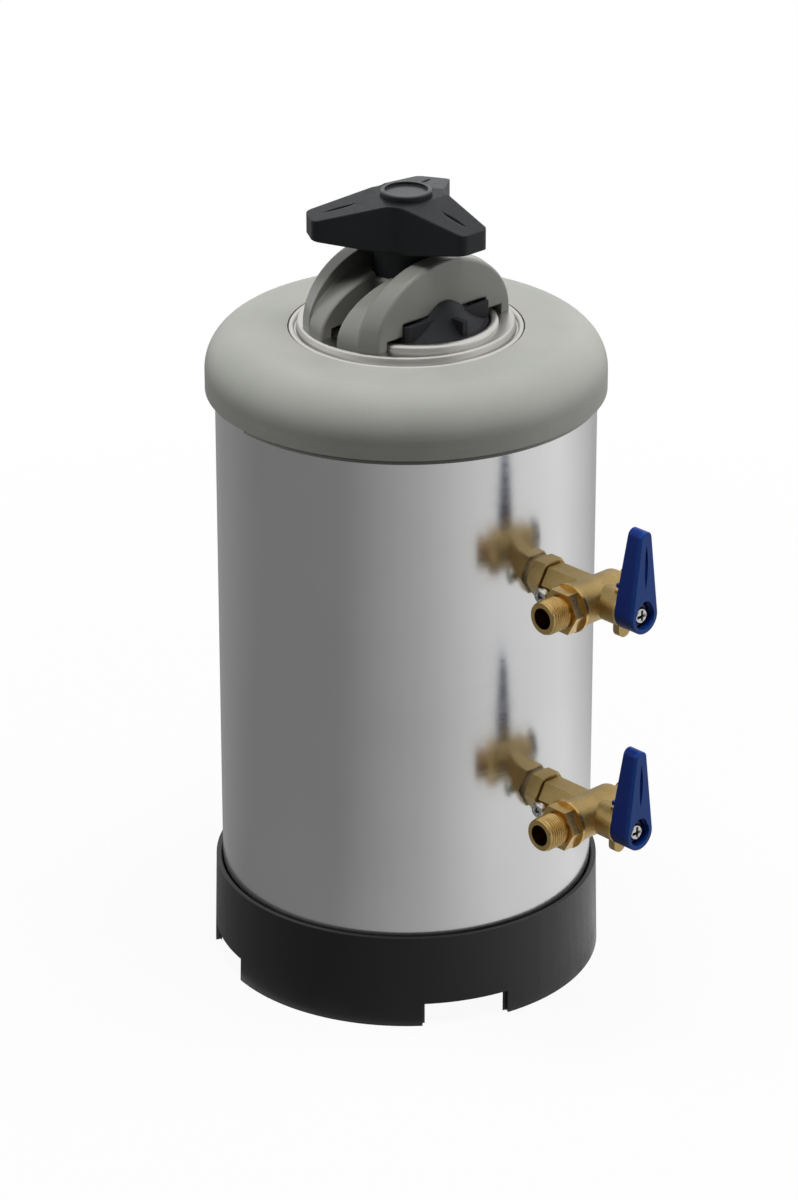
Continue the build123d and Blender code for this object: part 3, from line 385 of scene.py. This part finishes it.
def cap_plastic():
    """Grey moulding with a fine spark grain, faint rings on its side and a painted shadow line on
    its band under the lip.
    """
    f = Finish("cap_plastic")
    grain = f.noise(1500.0, 2.0, 0.7)
    pits = f.cells(900.0)
    tone = f.noise(22.0, 3.0)
    height = f.axis("Z")
    rings = f.lines(height, 520.0, 1.0)
    low = f.level(height, 1.0, 0.0, CAP_RINGS_LOW, CAP_RINGS_HIGH)
    colour = f.tint(tone, (0.425, 0.435, 0.400), (0.475, 0.480, 0.445))
    speckled = f.mix(f.level(grain, 0.22, 0.0, 0.35, 0.62), colour, (0.33, 0.335, 0.31))
    # Painted shadow: a dark line on the top of the band, just under the lip's overhang, where the
    # overhang's shade falls
    above = f.level(height, 1.0, 0.0, CAP_SHADOW_LINE, CAP_SHADOW_LINE + CAP_SHADOW_HALF_WIDTH)
    below = f.level(height, 0.0, 1.0, CAP_SHADOW_LINE - CAP_SHADOW_HALF_WIDTH, CAP_SHADOW_LINE)
    lined = f.mix(above * below * 0.75, speckled, (0.10, 0.10, 0.09))
    textured = f.bump(grain + f.level(pits, 0.0, 0.4), 0.22, 0.00018)
    normal = f.bump(rings * low, 0.10, 0.0004, textured)
    return f.surface(lined, f.spread(grain, 0.42, 0.56), normal, specular=0.34)


def base_plastic():
    """Black moulding: satin skin, faint drag marks up its side and a dusty foot."""
    f = Finish("base_plastic")
    grain = f.noise(1300.0, 2.0, 0.6)
    drag = f.noise(1.0, 4.0, 0.6, (420, 420, 30))
    patches = f.level(f.noise(70.0, 5.0), 0.0, 1.0, 0.4, 0.75)
    dust = f.level(f.axis("Z"), 1.0, 0.0, 0.0, BASE_DUST_TOP) * patches
    colour = f.mix(dust * 0.5, (0.0040, 0.0045, 0.0045), (0.022, 0.023, 0.021))
    rough = f.spread(grain, 0.30, 0.42) + f.level(drag, 0.0, 0.10, 0.4, 0.8) + dust * 0.2
    normal = f.bump(drag, 0.05, 0.0002, f.bump(grain, 0.16, 0.00012))
    return f.surface(colour, rough, normal, specular=0.40)


# Finishes of the closure

def lid_plastic():
    """Matt black moulding with a coarse spark grain and rubbed high spots."""
    f = Finish("lid_plastic")
    grain = f.noise(1100.0, 3.0, 0.7)
    flow = f.noise(45.0, 4.0)
    colour = f.tint(flow, (0.0165, 0.0170, 0.0195), (0.0240, 0.0250, 0.0275))
    rubbed = f.mix(f.edge(0.0005) * 0.5, colour, (0.075, 0.076, 0.080))
    normal = f.bump(grain, 0.30, 0.00018)
    return f.surface(rubbed, f.spread(grain, 0.50, 0.68), normal, specular=0.30)


def bridge_paint():
    """Semi-gloss grey paint on a casting: orange peel, soft flow marks and softened edges."""
    f = Finish("bridge_paint")
    peel = f.noise(420.0, 2.0, 0.5)
    flow = f.noise(30.0, 3.0)
    colour = f.tint(flow, (0.228, 0.233, 0.212), (0.248, 0.253, 0.230))
    skin = f.bump(peel, 0.03, 0.0002, f.rounded(0.0014, 16))
    normal = f.bump(flow, 0.03, 0.0010, skin)
    return f.surface(colour, f.spread(peel, 0.30, 0.34), normal, coat=0.35, coat_roughness=0.16)


def knob_plastic():
    """Black moulding with an even fine grain, and soft edges that hands have worn paler."""
    f = Finish("knob_plastic")
    grain = f.noise(1250.0, 2.0, 0.65)
    tone = f.noise(50.0, 4.0)
    scuff = f.noise(1.0, 3.0, 0.6, (160, 160, 900))
    colour = f.tint(tone, (0.0075, 0.0085, 0.0100), (0.0115, 0.0130, 0.0150))
    worn = f.mix(f.edge(0.0006) * 0.4, colour, (0.060, 0.066, 0.072))
    rough = f.spread(grain, 0.36, 0.50) + f.level(scuff, 0.0, 0.08, 0.55, 0.8)
    normal = f.bump(grain, 0.26, 0.00016, f.rounded(0.0013, 8))
    return f.surface(worn, rough, normal, specular=0.24)


def disc_plastic():
    """Polished black disc in the knob, with fine wipe marks round it."""
    f = Finish("disc_plastic")
    wipe = f.lines(f.radius(), 1800.0)
    haze = f.noise(90.0, 4.0)
    colour = f.mix(haze, (0.016, 0.018, 0.020), (0.026, 0.029, 0.031))
    rough = f.spread(wipe, 0.17, 0.25) + f.level(haze, 0.0, 0.05)
    return f.surface(colour, rough, f.bump(wipe, 0.05, 0.00008), specular=0.45)


# Finishes of the valves

def cast_brass():
    """Blasted casting: peened grain, darker pits and paler rubbed edges."""
    f = Finish("cast_brass")
    peen = f.cells(1250.0)
    grain = f.noise(1500.0, 3.0, 0.7)
    tone = f.noise(90.0, 4.0)
    colour = f.tint(tone, (0.400, 0.282, 0.108), (0.510, 0.370, 0.160))
    pitted = f.mix(f.level(grain, 0.5, 0.0, 0.32, 0.5), colour, (0.20, 0.125, 0.045))
    rubbed = f.mix(f.edge(0.0005) * 0.6, pitted, (0.66, 0.50, 0.25))
    normal = f.bump(peen + grain, 0.30, 0.00016)
    return f.surface(rubbed, f.spread(grain, 0.34, 0.50), normal, metallic=1.0)


def turned_brass(name, first, second, centres):
    """Machined brass with turning marks round the piece's own axis and a little tarnish."""
    f = Finish(name)
    third = ({"X", "Y", "Z"} - {first, second}).pop()
    turning = f.lines(f.radius(first, second, *centres), 2400.0)
    feed = f.lines(f.axis(third), 3200.0)
    tarnish = f.noise(260.0, 4.0)
    dull = f.level(tarnish, 0.0, 1.0, 0.35, 0.75)
    colour = f.mix(dull, (0.600, 0.415, 0.160), (0.450, 0.290, 0.100))
    rubbed = f.mix(f.edge(0.0004) * 0.5, colour, (0.78, 0.60, 0.31))
    rough = f.level(tarnish, 0.15, 0.30) + f.level(turning * feed, 0.0, 0.10)
    return f.surface(rubbed, rough, f.bump(turning + feed, 0.16, 0.00008), metallic=1.0)


def bright_steel(name="bright_steel", recess=None):
    """Bright stainless fasteners with small nicks, and painted shade in the cross recess where one
    is given.
    """
    f = Finish(name)
    skin = f.noise(700.0, 4.0, 0.6)
    nicks = f.level(f.noise(1900.0, 2.0), 0.0, 1.0, 0.68, 0.74)
    colour = f.mix(skin, (0.50, 0.49, 0.47), (0.66, 0.65, 0.63))
    marked = f.mix(nicks * 0.6 + f.edge(0.0003) * 0.2, colour, (0.45, 0.44, 0.42))
    if recess:
        across, along, centres, face, inward, reach = recess
        lip = face + inward * RECESS_LIP
        bottom = face + inward * RECESS_DEPTH
        near = f.level(f.radius(*across, *centres), 1.0, 0.0, reach, reach + RECESS_SHADE)
        deep = f.level(f.axis(along), 0.0, 1.0, lip, bottom)
        # Painted shade: the recess below its lip is coloured near black, for the shade inside the
        # cross
        marked = f.mix(near * deep, marked, (0.03, 0.03, 0.03))
    normal = f.bump(skin, 0.06, 0.0001)
    return f.surface(marked, f.level(skin, 0.14, 0.26), normal, metallic=1.0)


def fibre_washer():
    """Pressed brown fibre between the tank's wall and the spigot."""
    f = Finish("fibre_washer")
    strands = f.noise(900.0, 5.0, 0.7)
    colour = f.mix(strands, (0.17, 0.115, 0.050), (0.30, 0.215, 0.105))
    return f.surface(colour, f.level(strands, 0.45, 0.7), f.bump(strands, 0.2, 0.0001))


def plated_ball():
    """Hard plated ball with a mirror polish and a faint wipe mark round the stem's axis."""
    f = Finish("plated_ball")
    wipe = f.lines(f.axis("X"), 900.0)
    haze = f.noise(150.0, 3.0)
    colour = f.mix(haze, (0.74, 0.75, 0.76), (0.84, 0.85, 0.86))
    rough = f.level(wipe, 0.03, 0.10) + f.level(haze, 0.0, 0.03)
    return f.surface(colour, rough, f.bump(wipe, 0.04, 0.00005), metallic=1.0)


def blue_plastic():
    """Blue lever moulding: satin, with fine drawn lines up its face, a paler rubbed rim, and its
    front face painted lighter than its sides as a painted highlight.
    """
    f = Finish("blue_plastic")
    drawn = f.noise(1.0, 3.0, 0.6, (500, 2600, 60))
    grain = f.noise(1400.0, 2.0, 0.6)
    # Painted light: the front face gets a lighter blue than the sides, standing in for the light
    # and sheen that face catches
    face = f.level(f.axis("X"), 0.0, 1.0, LEVER_LIT_FACE_BACK, LEVER_LIT_FACE_FRONT)
    colour = f.mix(face, (0.0003, 0.0260, 0.2300), (0.0025, 0.0650, 0.3600))
    streaks = f.level(drawn, 0.0, 0.35, 0.45, 0.75)
    lined = f.mix(streaks * face, colour, (0.040, 0.100, 0.300))
    rubbed = f.mix(f.edge(0.0004) * 0.45, lined, (0.080, 0.160, 0.390))
    rough = f.spread(drawn, 0.26, 0.40) + f.level(grain, 0.0, 0.05)
    normal = f.bump(drawn, 0.14, 0.00010, f.bump(grain, 0.10, 0.00008))
    return f.surface(rubbed, rough, normal, specular=0.25)


def black_plastic():
    """Small black mouldings: fine grain, a light haze and paler edges."""
    f = Finish("black_plastic")
    grain = f.noise(1600.0, 2.0, 0.6)
    haze = f.noise(120.0, 4.0)
    colour = f.mix(haze, (0.010, 0.010, 0.011), (0.022, 0.022, 0.024))
    rubbed = f.mix(f.edge(0.0004) * 0.4, colour, (0.07, 0.07, 0.075))
    return f.surface(rubbed, f.spread(grain, 0.32, 0.50), f.bump(grain, 0.2, 0.0001))


# Finishes of the inner pieces

def black_rubber():
    """Moulded rubber: dull, with a pale bloom in patches."""
    f = Finish("black_rubber")
    bloom = f.level(f.noise(140.0, 5.0), 0.0, 1.0, 0.45, 0.8)
    grain = f.noise(1800.0, 3.0, 0.7)
    colour = f.mix(bloom, (0.014, 0.014, 0.014), (0.045, 0.045, 0.043))
    return f.surface(colour, f.spread(grain, 0.62, 0.84), f.bump(grain, 0.3, 0.00012))


def white_plastic():
    """White strainers and seats: slightly translucent, with drag lines from the mould."""
    f = Finish("white_plastic")
    drag = f.noise(1.0, 3.0, 0.5, (300, 300, 900))
    tone = f.noise(60.0, 3.0)
    colour = f.mix(tone, (0.72, 0.72, 0.69), (0.84, 0.84, 0.81))
    return f.surface(colour, f.level(drag, 0.28, 0.44), f.bump(drag, 0.1, 0.0001), subsurface=0.08)


def resin_beads():
    """Exchange resin: amber beads about half a millimetre across."""
    f = Finish("resin_beads")
    beads = f.cells(1700.0)
    tone = f.noise(300.0, 4.0)
    colour = f.mix(tone, (0.40, 0.17, 0.035), (0.66, 0.36, 0.10))
    shaded = f.mix(f.spread(beads, 0.0, 0.6), colour, (0.20, 0.08, 0.02))
    return f.surface(shaded, f.level(beads, 0.22, 0.5), f.bump(1.0 - beads, 0.6, 0.0003))


def port_brass(node, name):
    """Turned brass with its marks round the port's own axis."""
    low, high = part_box(node)
    middle = (low + high) / 2
    return turned_brass(name, "X", "Z", (middle.x, middle.z))


def recess_reach(node):
    """How far a cross reaches from the middle of a screw's head."""
    low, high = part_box(node)
    return max(high - low) / 2 * RECESS_REACH_SHARE


def screw_steel(node, outward):
    """Bright steel with painted shade in the cross recess of this screw's head."""
    low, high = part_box(node)
    middle = (low + high) / 2
    along = max("XYZ", key=lambda name: abs(getattr(outward, name.lower())))
    across = [name for name in "XYZ" if name != along]
    centres = [getattr(middle, name.lower()) for name in across]
    inward = -getattr(outward, along.lower())
    face = getattr(high if inward < 0 else low, along.lower())
    recess = (across, along, centres, face, inward, recess_reach(node))
    return bright_steel(f"{node}_steel", recess)


def dress_nodes():
    """Gives every CAD node the finish of its material slot, or its own, and returns them all."""
    finishes = {
        "base_plastic": base_plastic(),
        "cap_plastic": cap_plastic(),
        "lid_plastic": lid_plastic(),
        "bridge_paint": bridge_paint(),
        "knob_plastic": knob_plastic(),
        "black_plastic": black_plastic(),
        "black_rubber": black_rubber(),
        "valve_brass": cast_brass(),
        "machined_brass": turned_brass("turned_brass", "X", "Y", (0.0, 0.0)),
        "plated_ball": plated_ball(),
        "white_plastic": white_plastic(),
        "blue_plastic": blue_plastic(),
        "bright_steel": bright_steel(),
        "resin": resin_beads(),
        "tank_steel": rolled_steel(),
    }
    own = {"tank_top": spun_steel(), "knob_disc": disc_plastic()}
    fibre = fibre_washer()
    for valve in VALVES:
        port = port_brass(f"{valve}_port", f"{valve}_port_brass")
        own[f"{valve}_port"] = port
        own[f"{valve}_port_washer"] = port
        own[f"{valve}_gasket"] = fibre
        for screw, outward in SCREWS.items():
            own[f"{valve}_{screw}"] = screw_steel(f"{valve}_{screw}", outward)
    chosen = {}
    for name, node in nodes.items():
        chosen[name] = own.get(name, finishes[slot_of_node[name]])
        for holder in node.material_slots:
            holder.material = chosen[name]
    return chosen


# Mesh helpers

def add(name, data):
    """A new object of the scene that holds this data."""
    made = bpy.data.objects.new(name, data)
    bpy.context.scene.collection.objects.link(made)
    return made


def merged(node):
    """A welded copy of a CAD node's mesh, as a bmesh."""
    mesh = bmesh.new()
    mesh.from_mesh(nodes[node].data)
    bmesh.ops.remove_doubles(mesh, verts=mesh.verts, dist=MERGE)
    return mesh


def poured(mesh, name):
    """The bmesh as plain mesh data. The bmesh is used up."""
    data = bpy.data.meshes.new(name)
    mesh.to_mesh(data)
    mesh.free()
    return data


def put_in(mesh, name, material):
    """Turns a bmesh into an object at the origin, smooth where its faces meet gently.

    Normals stored with the CAD mesh don't fit a welded copy, so they are dropped.
    """
    data = poured(mesh, name)
    stale = data.attributes.get("custom_normal")
    if stale:
        data.attributes.remove(stale)
    data.materials.clear()
    data.materials.append(material)
    return smoothed(add(name, data))


def smoothed(piece):
    piece.data.shade_smooth()
    piece.data.set_sharp_from_angle(angle=SMOOTH_ANGLE)
    return piece


def baked_down(piece):
    """Replaces a piece's mesh by what its modifiers make of it."""
    bpy.context.view_layer.update()
    shown = piece.evaluated_get(bpy.context.evaluated_depsgraph_get())
    result = bpy.data.meshes.new_from_object(shown)
    piece.modifiers.clear()
    piece.data = result
    return smoothed(piece)


def stand_for(piece, node):
    """The piece takes the CAD node's place on its body, and the node is hidden."""
    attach(piece, body_of_node[node])
    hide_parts(node)


# Cross recesses in the screw heads

def cross_outline(reach, width):
    """The twelve corners of a cross, anticlockwise."""
    arm = [(reach, -width), (reach, width), (width, width)]
    corners = []
    for quarter in range(4):
        turn = pi / 2 * quarter
        for x, y in arm:
            corners.append((x * cos(turn) - y * sin(turn), x * sin(turn) + y * cos(turn)))
    return corners


def recess_cutter(centre, outward, reach):
    """A cross that tapers from just above the head down to its floor."""
    mesh = bmesh.new()
    turn = Vector((0, 0, 1)).rotation_difference(outward).to_matrix()
    rings = []
    for height, share in ((RECESS_DEPTH, RECESS_FLARE), (-RECESS_DEPTH, RECESS_TAPER)):
        outline = cross_outline(reach * share, reach * share * RECESS_WIDTH_SHARE)
        places = [centre + turn @ Vector((x, y, height)) for x, y in outline]
        rings.append([mesh.verts.new(place) for place in places])
    top, bottom = rings
    count = len(top)
    mesh.faces.new(top)
    mesh.faces.new(list(reversed(bottom)))
    for i in range(count):
        j = (i + 1) % count
        mesh.faces.new((top[i], bottom[i], bottom[j], top[j]))
    bmesh.ops.recalc_face_normals(mesh, faces=mesh.faces)
    return add("recess_cutter", poured(mesh, "recess_cutter"))


def recessed_screw(node, outward, finish):
    """The screw, with a cross recess cut into its head."""
    low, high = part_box(node)
    middle = (low + high) / 2
    spread = (high - low) / 2
    face = middle + outward * abs(spread.dot(outward))
    screw = put_in(merged(node), f"{node}_recessed", finish)
    cutter = recess_cutter(face, outward, recess_reach(node))
    cut = screw.modifiers.new("recess", "BOOLEAN")
    cut.operation = "DIFFERENCE"
    cut.solver = "EXACT"
    cut.object = cutter
    baked_down(screw)
    bpy.data.objects.remove(cutter)
    return screw


# Threads on the ports, made by one Geometry Nodes tree

def thread_tree():
    """A helical ridge along +Z: a spiral with a trapezoid section that fades at both ends."""
    tree = bpy.data.node_groups.new("thread_ridge", "GeometryNodeTree")
    face = tree.interface
    sizes = {
        "Root Radius": THREAD_CREST,
        "Pitch": THREAD_PITCH,
        "Turns": 1.0,
        "Depth": THREAD_DEPTH,
    }
    for name, size in sizes.items():
        socket = face.new_socket(name, in_out="INPUT", socket_type="NodeSocketFloat")
        socket.default_value = size
    face.new_socket("Finish", in_out="INPUT", socket_type="NodeSocketMaterial")
    face.new_socket("Geometry", in_out="OUTPUT", socket_type="NodeSocketGeometry")

    def node(kind, settings=None, values=None):
        made = tree.nodes.new(kind)
        for key, setting in (settings or {}).items():
            setattr(made, key, setting)
        for key, value in (values or {}).items():
            if isinstance(value, bpy.types.NodeSocket):
                tree.links.new(value, made.inputs[key])
            else:
                made.inputs[key].default_value = value
        return made

    def sums(operation, first, second):
        return node("ShaderNodeMath", {"operation": operation}, {0: first, 1: second}).outputs[0]

    given = node("NodeGroupInput").outputs
    spiral = node(
        "GeometryNodeCurveSpiral",
        values={
            "Resolution": THREAD_STEPS,
            "Rotations": given["Turns"],
            "Start Radius": given["Root Radius"],
            "End Radius": given["Root Radius"],
            "Height": sums("MULTIPLY", given["Pitch"], given["Turns"]),
        },
    ).outputs[0]
    upright = node("GeometryNodeSetCurveNormal", {"mode": "Z_UP"}, {"Curve": spiral}).outputs[0]

    along = node("GeometryNodeSplineParameter").outputs["Factor"]
    nearest = sums("MINIMUM", along, sums("SUBTRACT", 1.0, along))
    turns_in = sums("MULTIPLY", nearest, given["Turns"])
    fade = sums("MINIMUM", sums("MULTIPLY", turns_in, 1.0 / THREAD_FADE_TURNS), 1.0)

    section = node(
        "GeometryNodeCurvePrimitiveQuadrilateral",
        {"mode": "TRAPEZOID"},
        {
            "Height": sums("MULTIPLY", given["Depth"], 2.0),
            "Bottom Width": sums("MULTIPLY", given["Pitch"], THREAD_FOOT_SHARE),
            "Top Width": sums("MULTIPLY", given["Pitch"], THREAD_TIP_SHARE),
            "Offset": 0.0,
        },
    ).outputs[0]
    turned = node(
        "GeometryNodeTransform",
        values={"Geometry": section, "Rotation": (0.0, 0.0, THREAD_SECTION_TURN)},
    ).outputs[0]

    ridge = node(
        "GeometryNodeCurveToMesh",
        values={"Curve": upright, "Profile Curve": turned, "Scale": fade, "Fill Caps": True},
    ).outputs[0]
    single = node("GeometryNodeRealizeInstances", values={"Geometry": ridge}).outputs[0]
    finished = node(
        "GeometryNodeSetMaterial", values={"Geometry": single, "Material": given["Finish"]}
    ).outputs[0]
    node("NodeGroupOutput", values={"Geometry": finished})
    return tree


def thread_ridge(tree, root, turns, finish):
    """A ridge of this many turns along +Z, from the Geometry Nodes tree."""
    ridge = add("thread_ridge", bpy.data.meshes.new("thread_ridge"))
    winding = ridge.modifiers.new("winding", "NODES")
    winding.node_group = tree
    inputs = {
        "Root Radius": root,
        "Pitch": THREAD_PITCH,
        "Turns": turns,
        "Depth": THREAD_DEPTH,
        "Finish": finish,
    }
    for socket in tree.interface.items_tree:
        if socket.in_out == "INPUT":
            winding[socket.identifier] = inputs[socket.name]
    return baked_down(ridge)


def threaded_port(node, tree, finish):
    """The port with its thread's wall drawn in to the root, and a helical ridge wound on it."""
    low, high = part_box(node)
    middle = (low + high) / 2
    root = THREAD_CREST - THREAD_DEPTH
    mesh = merged(node)
    wall = []
    for vertex in mesh.verts:
        out = Vector((vertex.co.x - middle.x, vertex.co.z - middle.z))
        if abs(out.length - THREAD_CREST) < TINY:
            out = out.normalized() * root
            vertex.co.x = middle.x + out.x
            vertex.co.z = middle.z + out.y
            wall.append(vertex.co.y)
    thread_end = low.y + THREAD_CHAMFER
    turns = (max(wall) - THREAD_RUNOUT - thread_end) / THREAD_PITCH
    ridge = thread_ridge(tree, root, turns, finish)
    upright = Matrix.Rotation(-pi / 2, 4, "X")
    ridge.data.transform(Matrix.Translation((middle.x, thread_end, middle.z)) @ upright)
    mesh.from_mesh(ridge.data)
    bpy.data.objects.remove(ridge)
    return put_in(mesh, f"{node}_threaded", finish)


# Camera, floor and lights

def camera():
    data = bpy.data.cameras.new("camera")
    data.lens = CAMERA_LENS
    data.shift_x = CAMERA_SHIFT
    made = add("camera", data)
    made.location = (
        CAMERA_DISTANCE * cos(CAMERA_AZIMUTH),
        CAMERA_DISTANCE * sin(CAMERA_AZIMUTH),
        CAMERA_HEIGHT,
    )
    made.rotation_euler = (pi / 2 - CAMERA_PITCH, 0, CAMERA_AZIMUTH + pi / 2)
    bpy.context.scene.camera = made


def floor():
    """A plain white floor that keeps a soft shadow under the base."""
    f = Finish("floor_white")
    values = {0: f.ray("Diffuse"), 1: f.matt(FLOOR_TONE), 2: f.matt(FLOOR_BOUNCE)}
    lit = f.node("ShaderNodeMixShader", values=values)
    share = f.seen() * f.level(f.radius(), FLOOR_GLOW, 1.0, SHADOW_NEAR, SHADOW_FAR)
    f.closed(f.node("ShaderNodeMixShader", values={0: share, 1: lit, 2: f.glow(WHITE)}))
    reach = FLOOR_REACH
    corners = [(-reach, -reach, 0), (reach, -reach, 0), (reach, reach, 0), (-reach, reach, 0)]
    data = bpy.data.meshes.new("floor")
    data.from_pydata(corners, [], [(0, 1, 2, 3)])
    data.materials.append(f.material)
    made = add("floor", data)


def reflected_floor():
    """A ring on the floor that only reflections see: dark on the left, bright on the right."""
    f = Finish("reflected_floor")
    x, y = f.axis("X"), f.axis("Y")
    ahead = x * cos(CAMERA_AZIMUTH) + y * sin(CAMERA_AZIMUTH)
    aside = y * cos(CAMERA_AZIMUTH) - x * sin(CAMERA_AZIMUTH)
    bearing = f.node("ShaderNodeMath", {"operation": "ARCTAN2"}, {0: aside, 1: ahead})
    stops = [(angle / 360 + 0.5, (tone, tone, tone)) for angle, tone in RING_TONES]
    f.closed(f.glow(f.ramp(bearing / (2 * pi) + 0.5, *stops)))
    mesh = bmesh.new()
    turns = [2 * pi * step / RING_STEPS for step in range(RING_STEPS)]
    inner, outer = (
        [mesh.verts.new((reach * cos(turn), reach * sin(turn), RING_LIFT)) for turn in turns]
        for reach in (RING_INNER, RING_OUTER)
    )
    for i in range(RING_STEPS):
        j = (i + 1) % RING_STEPS
        mesh.faces.new((inner[i], outer[i], outer[j], inner[j]))
    made = put_in(mesh, "reflected_floor", f.material)
    for kind in ("camera", "diffuse", "shadow", "transmission", "volume_scatter"):
        setattr(made, f"visible_{kind}", False)


def backdrop():
    """White where it is seen, a weak grey as light, and dark in reflections of the front."""
    world = bpy.data.worlds.new("backdrop")
    world.use_nodes = True
    bpy.context.scene.world = world
    f = Tree(world.node_tree)
    x, y, up = (f.axis(name, "Generated") for name in "XYZ")
    ahead = x * cos(CAMERA_AZIMUTH) + y * sin(CAMERA_AZIMUTH)
    reflected = f.level(ahead - up, 1.0, FRONT_TONE, FRONT_START, FRONT_END)
    plain = f.ray("Camera") + f.ray("Transmission")
    strength = plain * (1.0 - AMBIENT) + f.ray("Glossy") * (reflected - AMBIENT) + AMBIENT
    light = f.node("ShaderNodeBackground", values={"Color": (*WHITE, 1.0), "Strength": strength})
    f.node("ShaderNodeOutputWorld", values={"Surface": light})


def lamp(name, bearing, distance, height, power):
    """A soft square lamp at a bearing from the camera's own side, aimed at the tank."""
    data = bpy.data.lights.new(name, "AREA")
    data.size = LAMP_SIZE
    data.energy = power
    made = add(name, data)
    turn = CAMERA_AZIMUTH + radians(bearing)
    made.location = (distance * cos(turn), distance * sin(turn), height)
    aim = Vector((0, 0, cad_high.z * LAMP_AIM)) - made.location
    made.rotation_euler = aim.to_track_quat("-Z", "Y").to_euler()
    made.visible_glossy = False


camera()
floor()
reflected_floor()
backdrop()
lamp("overhead", bearing=20, distance=0.3, height=2.2, power=35.0)
lamp("right_side", bearing=100, distance=1.8, height=0.7, power=11.0)
lamp("left_side", bearing=-100, distance=1.8, height=0.7, power=7.0)

finish_of = dress_nodes()
ridge_tree = thread_tree()
for valve in VALVES:
    for screw, outward in SCREWS.items():
        screw_node = f"{valve}_{screw}"
        stand_for(recessed_screw(screw_node, outward, finish_of[screw_node]), screw_node)
    port_node = f"{valve}_port"
    stand_for(threaded_port(port_node, ridge_tree, finish_of[port_node]), port_node)

bpy.context.scene.view_settings.view_transform = "Standard"
